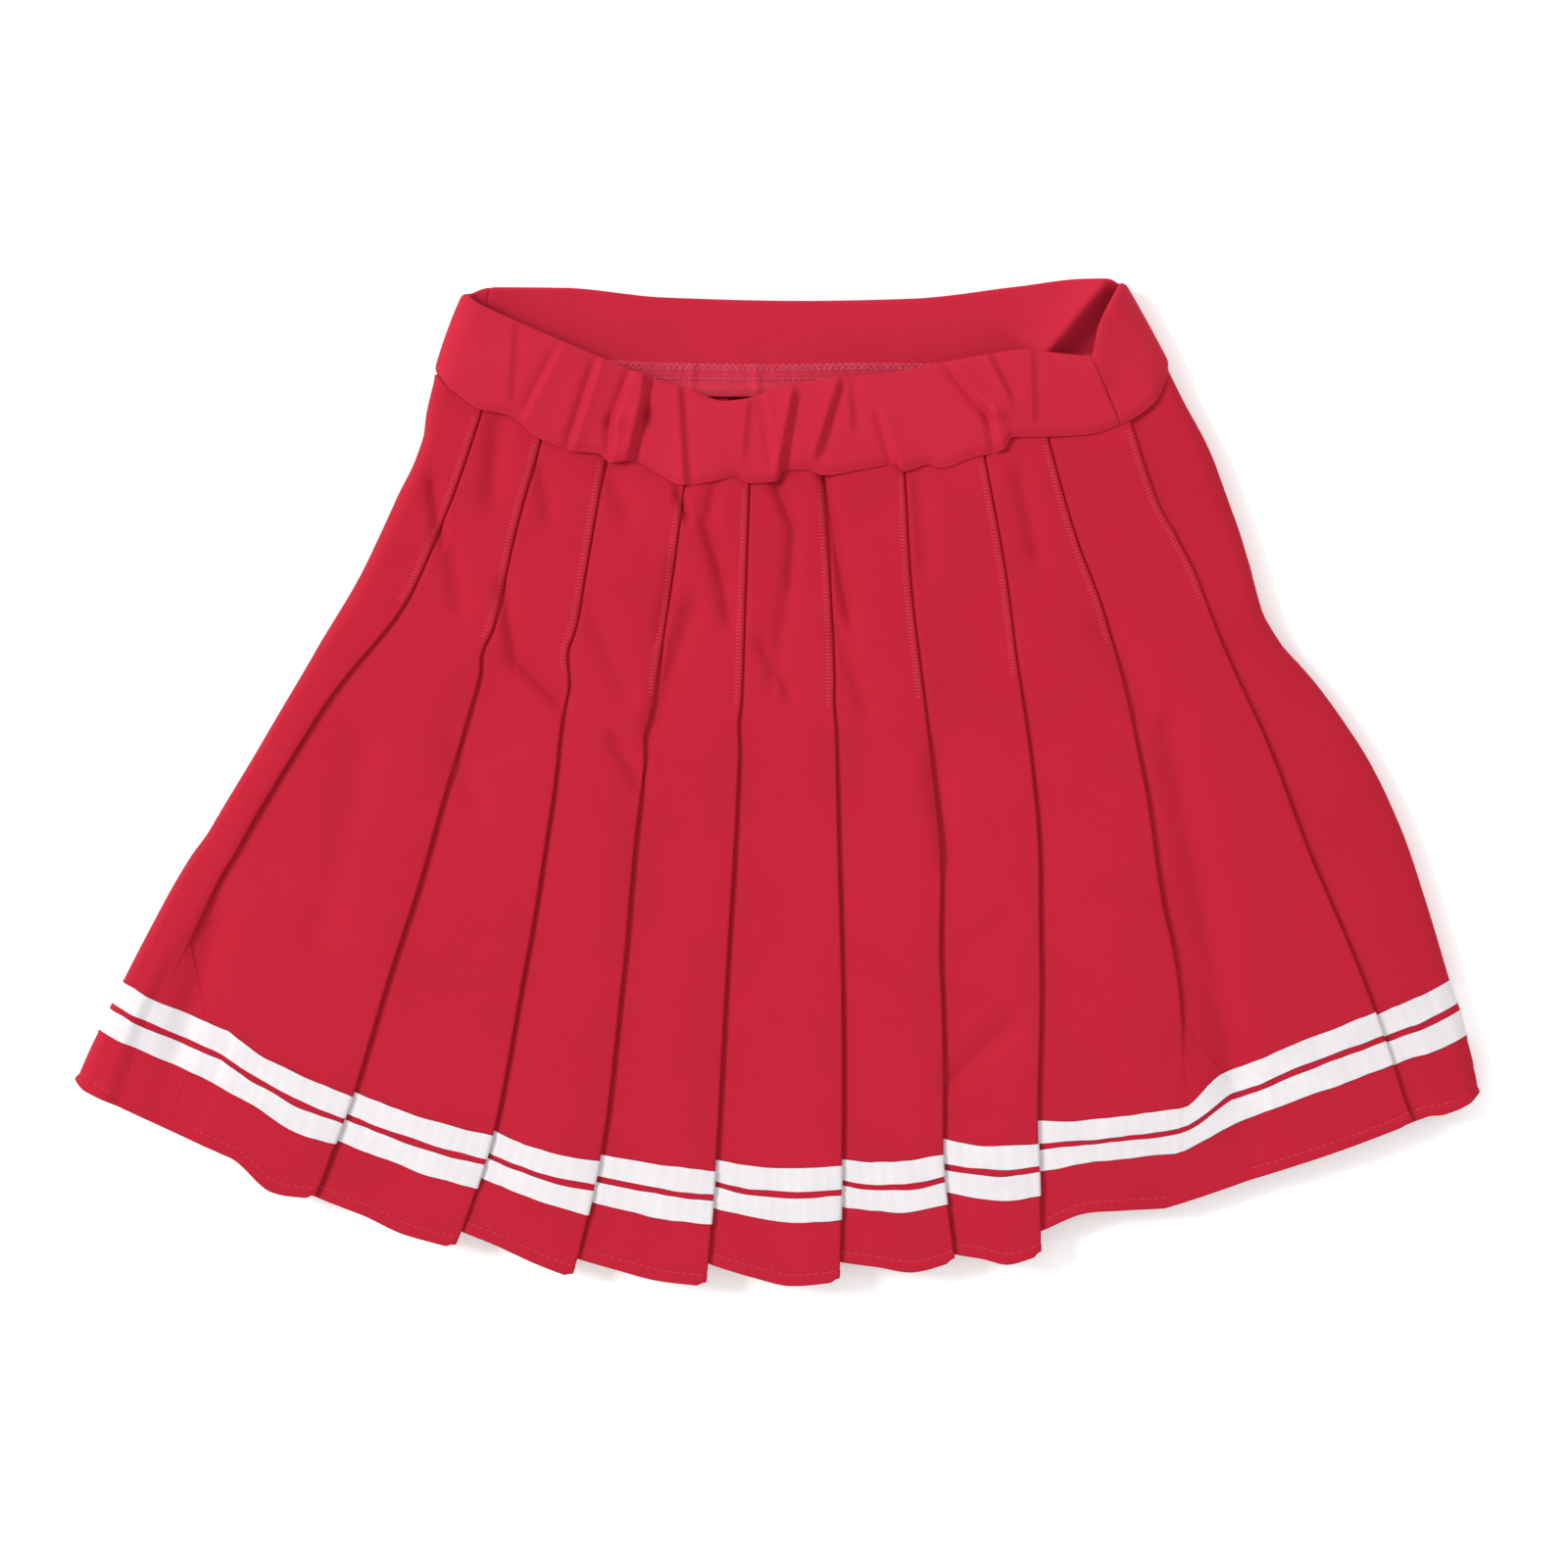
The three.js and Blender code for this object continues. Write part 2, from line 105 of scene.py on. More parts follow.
# Places down the skirt, and the share at which each fold of the front lies there.
STATIONS = [0, 0.14, 0.27, 0.45, 0.63, 0.85, 1]
FRONT_SHARES = [
    [-0.880, -0.885, -0.895, -0.938, -0.947, -0.935, -0.920],
    [-0.721, -0.722, -0.712, -0.687, -0.666, -0.666, -0.660],
    [-0.545, -0.543, -0.535, -0.493, -0.464, -0.453, -0.460],
    [-0.332, -0.336, -0.341, -0.327, -0.303, -0.291, -0.293],
    [-0.156, -0.152, -0.147, -0.137, -0.129, -0.116, -0.103],
    [0.043, 0.058, 0.064, 0.063, 0.067, 0.076, 0.087],
    [0.264, 0.257, 0.263, 0.259, 0.234, 0.230, 0.251],
    [0.481, 0.488, 0.478, 0.448, 0.402, 0.374, 0.374],
    [0.653, 0.670, 0.687, 0.655, 0.617, 0.617, 0.582],
    [0.881, 0.870, 0.892, 0.878, 0.859, 0.884, 0.902],
]
BACK_SHARES = [[2 * k / PANELS - 1] * len(STATIONS) for k in range(1, PANELS)]
# Little sideways kinks in a fold where its stitching ends: pleat, place down the skirt, and millimetres.
# Each fades over KINK_REACH of the skirt's length.
KINK_REACH = 0.022
KINKS = [(2, 0.30, -2.0), (3, 0.262, -1.8), (3, 0.31, 0.9), (4, 0.34, -1.6), (5, 0.31, -0.9), (6, 0.28, -0.5)]

# Share of the extra hem width gained at each place down the skirt.
FLARE_AT = [0, 0.267, 0.395, 0.634, 0.724, 0.864, 0.944, 1]
FLARE = [0, 0.212, 0.366, 0.674, 0.766, 0.881, 0.95, 1]
# How far each side fold lies off the even flare: (place down the skirt, millimetres to the right).
LEFT_EDGE = [(0, -1.8), (0.05, 0), (0.09, 2.3), (0.12, 2.2), (0.17, 0.3), (0.28, -1.3), (0.35, -1.6),
             (0.45, -0.8), (0.58, 0.9), (0.64, 0.8), (0.68, -1.2), (0.75, -3), (0.86, -4.8), (0.94, -3.9),
             (1, -1.8)]
RIGHT_EDGE = [(0, -3.2), (0.05, -1.2), (0.11, 2.2), (0.14, 2.9), (0.22, 2.6), (0.28, 0.6), (0.31, -1.7),
              (0.36, -5.2), (0.39, -4.9), (0.42, -2.2), (0.45, 0.2), (0.5, 2.1), (0.55, 3), (0.64, 1.8),
              (0.75, 0.1), (0.86, 0.4), (0.9, 1.6), (0.97, 1.4), (1, 0.8)]

# How far each panel of the front hangs below an even hem, at its inner end, two thirds along and its outer
# corner: at the level of the ribbons and at the hem itself.
QUARTERS = [0, 1 / 3, 2 / 3, 1]
RIBBON_DROP = [[2.5, 3, 3.2, 3.3], [3.3, 7.3, 8.1, 9.1], [6.8, 7.7, 7.7, 7.4], [5.6, 8.2, 9.2, 8.8],
               [6.3, 6.8, 7.4, 7.8], [3.3, 5.4, 5.6, 5.1], [2.6, 4.8, 5, 4.1], [-2, 2, 4.3, 5.9],
               [-3.1, 1.1, 4, 7], [-0.9, -2.2, -1.5, -0.3], [1.2, 1.5, 2.2, 2.5]]
HEM_DROP = [[2.5, 2.4, 2.2, 2], [2, 1.9, 9, 5.4], [4.5, 5.2, 7.9, 7.8], [0.2, 2.6, 6.5, 9.9],
            [1.9, 4.4, 6.9, 7.5], [-1.7, 3, 6.7, 5.6], [-2.3, 0.6, 4, 1.8], [-1.1, 2.3, 6.3, 5],
            [-4.5, -8, -5.2, -1.2], [-1.2, 0.2, 1.9, 3.7], [3.7, 4.4, 6.9, 8]]
BACK_INSIDE = [[-6, -6, -5, -5]] + [[-9, -9, -8, -8]] * 2 + [[-6, -5, -4, -3]] * 6
BACK_RIBBON_DROP = [[2.5, -2, -5, -6]] + BACK_INSIDE + [[-5, -3, 0, 2.5]]
BACK_HEM_DROP = [[8, 3, -3, -6]] + BACK_INSIDE + [[-5, -3, 0, 2.5]]

# Two pleats of the front open out towards the hem: pleat, where it starts to open and where it is open, how
# far the open crest lies left of the fold, and how far the open valley lies right of it.
OPENING = {1: (0.71, 0.88, 3, 14), 9: (0.64, 0.93, 7, 17)}
OPEN_CREST = 1.8  # height of the open crest
OPEN_VALLEY = 1.1  # and of the open valley

# The waist seam of the front, puckered by the elastic: (x, y).
WAIST_SEAM = [(-139.5, 167), (-138, 164), (-130, 157.5), (-122.9, 152.4), (-111.3, 150), (-106.9, 148),
              (-100.1, 141.6), (-96.1, 139.6), (-82.5, 134.8), (-73.3, 134), (-68.5, 130.4),
              (-59.3, 131.2), (-50, 126.4), (-38.9, 121.2), (-26.5, 122.8), (-17.3, 124.8), (-12.1, 122),
              (-0.5, 122.8), (1.6, 127.2), (10.7, 127.4), (19.1, 125.2), (34, 127.6), (48.3, 129.6),
              (51, 126.8), (61.5, 129.6), (66, 128.2), (80, 132.6), (92, 135.6), (95.5, 140.8),
              (110, 141), (126, 141.8), (140, 146), (149, 151), (157, 159.5), (160.5, 171)]

# Soft drag lines in the front: from (x, y) to (x, y), half width, and height in units of WRINKLE_DEPTH.
WRINKLE_DEPTH = 2.3
WRINKLES = [
    (-141.3, 120.8, -137.3, 99.2, 3, -1.2), (-133.3, 92.8, -130.1, 72.4, 4, -0.8),
    (-114.5, 142.8, -116.5, 119.2, 5, -1.3), (-96.5, 126, -93.7, 111.2, 4, -0.9),
    (-111.7, 77.6, -106.9, 50.8, 3.5, -1.3), (-106.9, 50.8, -90.1, 34.4, 3.5, -1.4),
    (-76, 70, -63.3, 38, 5, -0.7), (-68.9, 127.2, -61.7, 111.2, 5, -0.8),
    (-40.5, 117.2, -37.7, 108.4, 2, -1.2), (-42.9, 88, -48.1, 62.4, 3, -0.7),
    (-26.5, 118, -28.9, 104.4, 3, -0.9), (-28.9, 104.4, -22.5, 82.8, 3.5, -1.4),
    (-22.5, 82.8, -20.1, 68, 3.5, -1.1), (-0.5, 122, 6.7, 103.2, 3, -1.3),
    (6.7, 103.2, 4.7, 79.2, 3, -1), (4.7, 79.2, -1.7, 43.2, 4, -0.7),
    (18.7, 124.4, 22.3, 103.2, 2.5, -1.2), (22.3, 103.2, 29.1, 68.4, 3, -1.2),
    (29.1, 68.4, 30.3, 43.2, 4, -0.6), (-36.5, 67.2, -50.5, 24, 4.5, -1),
    (-65.7, 15.2, -58.1, 2.4, 3.5, -1), (-6.1, 55.2, 4.3, 36.8, 3, -1),
    (25.5, 59.2, 35.1, 32.8, 4, -0.8), (64.3, 6, 69.5, -29.6, 5, -1.1),
    (73.5, -120, 91.9, -102.8, 5, -0.9), (77.5, -69.6, 89.5, -60, 6, -0.5),
    (-132.1, 12.4, -124.5, -6.4, 5, -0.6), (99.1, 123.2, 105.5, 95.2, 4, -0.9),
    (58, 118, 60, 92, 4, -0.7), (135, 60, 150, 30, 6, -0.8),
    (160, 20, 176, -60, 7, -1.2), (176, -60, 186, -120, 7, -1.2),
    (-230, -60, -246, -110, 6, -0.9), (-170, 10, -186, -60, 8, -0.6),
]


def half_width(t):
    """Half the flat width of the skirt."""
    return mix(HALF_SEAM, HALF_HEM, through(t, FLARE_AT, FLARE))


def off_stretch(x, y, x0, y0, x1, y1):
    """How far points lie off a straight stretch, on the right hand of its direction, and past its ends."""
    dx, dy = x1 - x0, y1 - y0
    length = np.hypot(dx, dy)
    along = ((x - x0) * dx + (y - y0) * dy) / length
    off = ((x - x0) * dy - (y - y0) * dx) / length
    return off, np.maximum(0, np.maximum(-along, along - length))


def segment_hollows(x, y, hollows):
    """The deepest of many soft hollows: each is deepest along a straight stretch and fades on both sides,
    as a bell does, and past its two ends."""
    height = np.zeros(np.broadcast(x, y).shape)
    for *stretch, width, rise in hollows:
        off, past = off_stretch(x, y, *stretch)
        height = np.minimum(height, rise * np.exp(-((off / width) ** 2) - (past / (1.6 * width)) ** 2))
    return height


def front_relief(x, y):
    """The drag lines, and an unevenness of long low waves that run down the skirt."""
    waves = 0.35 * np.sin(x / 9.1 + y / 61 + 1.3) * np.sin(y / 37 + x / 80) + 0.3 * np.sin(x / 17 - y / 95)
    return WRINKLE_DEPTH * segment_hollows(x, y, WRINKLES) + waves * ease(130, 60, y)


def back_relief(x, y):
    """Only pressed down by the floor, so its waves go one way, into the skirt."""
    return 0.4 + 0.4 * np.sin(x / 23 + y / 70) * np.sin(y / 41)


FRONT = {"name": "front", "facing": 1, "shares": FRONT_SHARES, "seam_y": FRONT_SEAM_Y, "length": FRONT_LENGTH,
         "ribbon_drop": RIBBON_DROP, "hem_drop": HEM_DROP, "opening": OPENING, "base": FRONT_BASE}
BACK = {"name": "back", "facing": -1, "shares": BACK_SHARES, "seam_y": BACK_SEAM_Y, "length": BACK_LENGTH,
        "ribbon_drop": BACK_RIBBON_DROP, "hem_drop": BACK_HEM_DROP, "opening": {}, "base": BACK_BASE}


def fold_x(layer, k, t):
    """Distance of fold k from the layer's middle line: its share of the half width, with its kinks."""
    if k in (0, PANELS):
        return half_width(t) * (-1 if k == 0 else 1)
    x = half_width(t) * through(t, STATIONS, layer["shares"][k - 1])
    if layer is FRONT:
        for _, spot, shift in [kink for kink in KINKS if kink[0] == k]:
            x = x + shift * np.exp(-(((t - spot) / KINK_REACH) ** 2))
    return x


def fold_depth(layer, k, t):
    """How deep pleat k tucks under its neighbour, at most 0.42 of the face that covers it."""
    room = 0.42 * (fold_x(layer, k, t) - fold_x(layer, k - 1, t))
    return np.minimum(mix(UNDERLAY_WAIST, UNDERLAY_HEM, t), room)


LOW = 0.45  # middle height of a pleat's lowest ply


def ply_levels(layer, t):
    """Middle heights of the two upper plies of a pleat, which lie closer where they are stitched down than
    where they hang free, and how far the free edge stands up off them."""
    free = ease(*FREED, t)
    if layer is BACK:
        return mix(1.3, 2.15, free), mix(2.15, 3.4, free), 0 * t
    return mix(1.3, 1.5, free), mix(2.15, 2.5, free), 0.7 * ease(0.27, 0.55, t)


TUCK = 5  # columns round each half of an inner fold
UNDER = 6  # columns across an underlay
FACE = 52  # columns across a visible face
ROUND = 11  # columns round an outer fold
BELOW = 7  # columns across a return


def drop(layer, k, q, t):
    """How far panel k hangs below the even rows at share q across it, with its outer corner rounded."""
    at_ribbons = through(q, QUARTERS, layer["ribbon_drop"][k - 1])
    at_hem = through(q, QUARTERS, layer["hem_drop"][k - 1])
    corner = 0
    if k < PANELS and k not in layer["opening"]:
        corner = 1.4 * ease(0.93, 1, q) ** 2 * ease(0.975, 1, t)
    return at_ribbons * ease(0.4, 0.86, t) + (at_hem - at_ribbons) * ease(0.84, 1, t) - corner


def how_open(layer, k, t):
    """From 0 where pleat k is folded to 1 where it has opened out."""
    start, end = layer["opening"].get(k, (2, 3))[:2]
    return ease(start, end, t)


def tuck_drop(layer, k, t):
    """How far the hidden fold of pleat k hangs below the even rows: not so far as the faces over it."""
    following = drop(layer, k + 1, 0.0, t)
    hidden = np.minimum(drop(layer, k, 0.6, t), following) - 0.8 * ease(0.5, 1, t)
    return mix(hidden, following, how_open(layer, k, t))


def face_height(layer, k, q, t):
    """The face starts on the floor side of its neighbour, climbs over its own pleat and is crowned."""
    _, high, lift = ply_levels(layer, t)
    if layer is BACK:
        start = high if k == 1 else LOW
        return mix(start, high, ease(0, 0.14, q)) + 0 * t
    start = high if k == 1 else mix(LOW, OPEN_VALLEY, how_open(layer, k - 1, t))
    end = LOW if k == PANELS else high
    crown = CROWN * np.sin(np.pi * q) * ease(0.2, 0.6, t)
    if k == PANELS:
        lift = 0
    free = ease(*FREED, t)
    brisk = mix(0.78, 0.4, free)
    climb = brisk * ease(0, mix(0.06, 0.1, free), q) + (1 - brisk) * ease(0.08, 0.86, q)
    height = mix(start, end, climb) + crown + lift * ease(0.45, 1, q)
    return height + how_open(layer, k, t) * (OPEN_CREST - high - lift) * ease(0.45, 1, q)


def gore_line(layer, k, t):
    """Cross-section of gore k at rows t, a column of numbers: x, height and drop, each rows by columns. It
    runs from the inner fold under the left neighbour, across the underlay and the face, round the outer
    fold, and back under the face to the next inner fold. An open pleat goes over to a low wave."""
    mid, high, lift = ply_levels(layer, t)
    left = fold_x(layer, k - 1, t)
    right = fold_x(layer, k, t)
    quarter = np.linspace(0, np.pi / 2, TUCK)
    inner_radius = (mid - LOW) / 2
    inner_level = (mid + LOW) / 2
    side_end = layer["facing"] * (SIDE_LEVEL - layer["base"])
    parts = []

    def opened(pleat):
        crest, valley = layer["opening"].get(pleat, (2, 3, 0, 0))[2:]
        return how_open(layer, pleat, t), crest, valley

    # Left end: the inner fold and underlay, or the side fold.
    if k == 1:
        turn = np.linspace(0, np.pi / 2, TUCK + UNDER + 1)[:-1]
        reach = np.minimum(SIDE_TURN, 0.3 * (right - left))
        face_start = left + CLOTH / 2 + reach
        x = left + CLOTH / 2 + reach * (1 - np.cos(turn))
        parts.append((x, mix(side_end, face_height(layer, k, 0.0, t), np.sin(turn)), 0.0))
    else:
        wide, _, valley = opened(k - 1)
        inner = left - fold_depth(layer, k - 1, t)
        x = inner + inner_radius * (1 - np.cos(quarter))
        x = mix(x, left + valley + np.linspace(0, 1.5, TUCK), wide)
        h = mix(inner_level - inner_radius * np.sin(quarter), OPEN_VALLEY, wide)
        parts.append((x, h, -1.0))
        share = np.linspace(0, 1, UNDER + 2)[1:-1]
        x = mix(mix(inner + inner_radius, left, share), left + valley + mix(1.5, 9, share), wide)
        parts.append((x, mix(LOW, OPEN_VALLEY, wide) + 0 * x, share - 1))
        face_start = mix(left, left + valley + 9, wide)

    # The face.
    q = np.linspace(0, 1, FACE)
    top = high + lift
    bottom = mid + 0.6 * lift
    radius = (top - bottom) / 2
    if k == PANELS:
        reach = np.minimum(SIDE_TURN, 0.3 * (right - left))
        face_end = right - CLOTH / 2 - reach
    else:
        wide, crest, valley = opened(k)
        face_end = mix(right - radius - CLOTH / 2, right - crest - 2, wide)
    parts.append((mix(face_start, face_end, q), face_height(layer, k, q, t), q))

    # Right end: the outer fold, the return and half the next inner fold, or the side fold.
    if k == PANELS:
        turn = np.linspace(np.pi / 2, 0, ROUND + BELOW + TUCK + 1)[1:]
        x = right - CLOTH / 2 - reach * (1 - np.cos(turn))
        parts.append((x, mix(side_end, face_height(layer, k, 1.0, t), np.sin(turn)), 1.0))
    else:
        turn = np.linspace(np.pi / 2, -np.pi / 2, ROUND + 1)[1:]
        along = np.linspace(0, 1, ROUND + 1)[1:]
        x = mix(right - radius - CLOTH / 2 + radius * np.cos(turn), right - crest + mix(-2, 2, along), wide)
        h = mix((top + bottom) / 2 + radius * np.sin(turn), OPEN_CREST - 0.1 * along, wide)
        parts.append((x, h, 1.0))
        inner = right - fold_depth(layer, k, t)
        share = np.linspace(0, 1, BELOW + 2)[1:-1]
        x = mix(mix(right - radius - CLOTH / 2, inner + inner_radius, share),
                right + mix(2 - crest, valley - 1.5, share), wide)
        down = ease(0, 1, share)
        h = mix(mix(bottom, mid, down), mix(OPEN_CREST - 0.1, OPEN_VALLEY, down), wide)
        parts.append((x, h, 1.0 + share))
        x = mix(inner + inner_radius * (1 - np.cos(quarter[::-1])),
                right + valley - 1.5 + np.linspace(0, 1.5, TUCK), wide)
        h = mix(inner_level + inner_radius * np.sin(quarter[::-1]), OPEN_VALLEY, wide)
        parts.append((x, h, 2.0))

    xs, hs, ds = [], [], []
    for x, h, q in parts:
        shape = np.broadcast(x, t).shape
        inside = drop(layer, k, np.clip(q, 0, 1), t)
        if k < PANELS:
            past = np.maximum(q - 1, 0)
            inside = mix(inside, tuck_drop(layer, k, t), (ease(0, 1, past) + past) / 2)
        if k > 1:
            inside = mix(inside, tuck_drop(layer, k - 1, t), ease(0, 1, np.maximum(-np.asarray(q), 0)))
        xs.append(np.broadcast_to(x, shape))
        hs.append(np.broadcast_to(h, shape))
        ds.append(np.broadcast_to(inside, shape))
    return np.hstack(xs), np.hstack(hs), np.hstack(ds)


def seam_shift(x):
    """How far the waist seam of the front lies off its even curve."""
    share = np.clip((x - WAIST_SHIFT) / HALF_SEAM, -1, 1)
    even = mix(FRONT_SEAM_Y, SIDE_SEAM_Y, share**2) + WAIST_TILT * share
    return curve(x, WAIST_SEAM) - even


def place(layer, x, height, lower, t):
    """A point of a layer: x outwards from its middle line, rows that sag in the middle and are rounded at
    the hem's corners, and its height measured outwards from the inside of the layer."""
    facing = layer["facing"]
    share = x / half_width(t)
    px = WAIST_SHIFT * (1 - t**4) + facing * x
    world_share = facing * share
    px = px + curve(t, LEFT_EDGE) * ease(-0.84, -1, world_share)
    px = px + curve(t, RIGHT_EDGE) * ease(0.84, 1, world_share)
    middle = mix(layer["seam_y"], layer["seam_y"] - layer["length"], t)
    py = mix(middle, mix(SIDE_SEAM_Y, SIDE_HEM_Y, t), share**2) + WAIST_TILT * world_share * (1 - t) - lower
    py = py + 1.8 * ease(0.983, 1, np.abs(share)) * ease(0.985, 1, t)
    edge = ease(1, 0.93, np.abs(share))
    if layer is FRONT:
        py = py + seam_shift(px) * (1 - ease(0, 0.24, t)) * ease(1, 0.97, np.abs(share))
        pz = layer["base"] + height + front_relief(px, py) * edge
        pz = pz - 0.7 * np.exp(-((t / 0.014) ** 2)) * edge
    else:
        pz = layer["base"] - height + back_relief(px, py) * edge * ease(3.6, 1, height)
    return np.stack(np.broadcast_arrays(px, py, pz), axis=-1)


def gore_points(layer, k, rows):
    """The middle surface of gore k at the given rows."""
    t = np.asarray(rows, float)[:, None]
    x, height, lower = gore_line(layer, k, t)
    return place(layer, x, height, lower, t)


# ---- Turning grids of points into closed pieces ----------------------------------------------------------


def outward(grid):
    """Unit normals of a grid, from the steps down its rows and across its columns."""
    normal = np.cross(np.gradient(grid, axis=0), np.gradient(grid, axis=1))
    return normal / np.maximum(np.linalg.norm(normal, axis=-1, keepdims=True), 1e-9)


def make_mesh(name, points, quads, uv, smooth=None):
    """A mesh of four-sided faces from arrays, in metres, turned so that its volume is positive. All of them
    are shaded smoothly, unless smooth says which."""
    if smooth is None:
        smooth = np.ones(len(quads), bool)
    points = (points + FRAME_SHIFT) * MM
    a, b, c, d = (points[quads[:, i]] for i in range(4))
    volume = np.einsum("ij,ij->", a, np.cross(b, c)) + np.einsum("ij,ij->", a, np.cross(c, d))
    if volume < 0:
        quads = quads[:, ::-1]
    mesh = bpy.data.meshes.new(name)
    mesh.vertices.add(len(points))
    mesh.vertices.foreach_set("co", points.astype(np.float32).ravel())
    mesh.loops.add(quads.size)
    mesh.loops.foreach_set("vertex_index", quads.astype(np.int32).ravel())
    mesh.polygons.add(len(quads))
    mesh.polygons.foreach_set("loop_start", np.arange(0, quads.size, 4, dtype=np.int32))
    mesh.polygons.foreach_set("use_smooth", smooth)
    layer = mesh.uv_layers.new(name="UVMap")
    layer.data.foreach_set("uv", uv[quads.ravel()].astype(np.float32).ravel())
    mesh.update(calc_edges=True)
    mesh.validate()
    return mesh


def add_piece(name, mesh, material, nodes=()):
    """An object of the skirt, which stands for the nodes named."""
    piece = bpy.data.objects.new(name, mesh)
    bpy.context.scene.collection.objects.link(piece)
    mesh.materials.append(material)
    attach(piece, "root")
    if nodes:
        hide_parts(*nodes)
    return piece


def slab_arrays(grid, half, normals):
    """Closed slab round a middle surface: the grid pushed by half a thickness to each side, with its four
    borders closed. Also the cloth's own two measures, across and down, in metres, and which faces are
    smooth: all but the two cut sides."""
    rows, columns = grid.shape[:2]
    push = normals * (np.zeros((rows, columns)) + half)[..., None]
    points = np.concatenate([(grid + push).reshape(-1, 3), (grid - push).reshape(-1, 3)])
    index = np.arange(rows * columns).reshape(rows, columns)
    below = index + rows * columns

    def strip(a, b, c, d):
        return np.stack([a, b, c, d], axis=-1).reshape(-1, 4)

    quads = np.concatenate([
        strip(index[:-1, :-1], index[1:, :-1], index[1:, 1:], index[:-1, 1:]),
        strip(below[:-1, :-1], below[:-1, 1:], below[1:, 1:], below[1:, :-1]),
        strip(index[:-1, 0], below[:-1, 0], below[1:, 0], index[1:, 0]),
        strip(index[:-1, -1], index[1:, -1], below[1:, -1], below[:-1, -1]),
        strip(index[0, :-1], index[0, 1:], below[0, 1:], below[0, :-1]),
        strip(index[-1, :-1], below[-1, :-1], below[-1, 1:], index[-1, 1:]),
    ])
    tops = 2 * (rows - 1) * (columns - 1)
    smooth = np.ones(len(quads), bool)
    smooth[tops:tops + 2 * (rows - 1)] = False
    across = np.linalg.norm(np.diff(grid, axis=1, prepend=grid[:, :1]), axis=-1).cumsum(axis=1)
    down = np.linalg.norm(np.diff(grid, axis=0, prepend=grid[:1]), axis=-1).cumsum(axis=0)
    across = across - across[:, columns // 2: columns // 2 + 1]
    uv = np.stack([across, down], axis=-1).reshape(-1, 2) * MM
    return points, quads, np.concatenate([uv, uv]), smooth


def cloth_piece(name, grid, half, material, nodes, normals=None):
    """A sheet of cloth from its middle surface, made as a closed slab of the given half thickness."""
    if normals is None:
        normals = outward(grid)
    piece = add_piece(name, make_mesh(name, *slab_arrays(grid, half, normals)), material, nodes)


def capsules(name, centres, along, normals, length, width, rise, material):
    """Many small stitches in one mesh: each a six-sided bead with blunt ends, laid along a direction."""
    along = along / np.linalg.norm(along, axis=-1, keepdims=True)
    aside = np.cross(normals, along)
    aside = aside / np.maximum(np.linalg.norm(aside, axis=-1, keepdims=True), 1e-9)
    up = np.cross(along, aside)
    ring = np.linspace(0, 2 * np.pi, 7)[:-1]
    stops = np.array([-0.5, -0.32, 0.32, 0.5])
    girth = np.array([0.4, 1.0, 1.0, 0.4])
    count = len(centres)
    length = np.broadcast_to(length, (count,))
    points = (
        centres[:, None, None]
        + along[:, None, None] * (length[:, None] * stops)[:, :, None, None]
        + aside[:, None, None] * (width / 2 * girth[:, None] * np.cos(ring))[None, :, :, None]
        + up[:, None, None] * (rise / 2 * girth[:, None] * np.sin(ring))[None, :, :, None]
    )
    base = np.arange(24).reshape(4, 6)
    turned = np.roll(base, -1, axis=1)
    sides = np.stack([base[:-1], base[1:], turned[1:], turned[:-1]], axis=-1).reshape(-1, 4)
    ends = np.array([[0, 1, 2, 3], [0, 3, 4, 5], [21, 20, 19, 18], [23, 22, 21, 18]])
    quads = (np.arange(count)[:, None, None] * 24 + np.concatenate([sides, ends])[None]).reshape(-1, 4)
    uv = np.zeros((count, 4, 6, 2))
    uv[..., 0] = (length[:, None] * stops)[:, :, None] * MM
    uv[..., 1] = ring * width / 2 * MM
    add_piece(name, make_mesh(name, points.reshape(-1, 3), quads, uv.reshape(-1, 2)), material)


def between(at, stations, rows):
    """Rows of three numbers at some stations, read off at others."""
    return np.stack([np.interp(at, stations, rows[:, i]) for i in range(3)], axis=-1)


def stepped(line, normals, pitch, start=0.0):
    """Points at an even pitch along a line, with the line's direction and the surface's normal at each."""
    length = np.concatenate([[0], np.linalg.norm(np.diff(line, axis=0), axis=-1).cumsum()])
    at = np.arange(start, length[-1], pitch)
    along = between(at, length, np.gradient(line, axis=0))
    return between(at, length, line), along, between(at, length, normals)


# ---- Materials -------------------------------------------------------------------------------------------


def linear(code):
    """An sRGB hex code as linear red, green, blue and alpha."""
    values = np.array([int(code[i:i + 2], 16) for i in (1, 3, 5)]) / 255
    values = np.where(values <= 0.04045, values / 12.92, ((values + 0.055) / 1.055) ** 2.4)
    return (*values.tolist(), 1.0)


def add_node(tree, kind, settings=None, links=None):
    """One node: settings are its properties or the values of its inputs, and links join its inputs."""
    node = tree.nodes.new(kind)
    for key, value in (settings or {}).items():
        if isinstance(key, str) and hasattr(node, key):
            setattr(node, key, value)
        else:
            node.inputs[key].default_value = value
    for key, output in (links or {}).items():
        tree.links.new(output, node.inputs[key])
    return node


def start_material(name, settings):
    """A material with one principled shader."""
    material = bpy.data.materials.new(name)
    material.use_nodes = True
    tree = material.node_tree
    tree.nodes.clear()
    shader = add_node(tree, "ShaderNodeBsdfPrincipled", settings)
    add_node(tree, "ShaderNodeOutputMaterial", None, {"Surface": shader.outputs["BSDF"]})
    return material, tree, shader


WAVE_TURN = 2 * np.pi / 20  # a wave texture of this scale repeats once in every metre


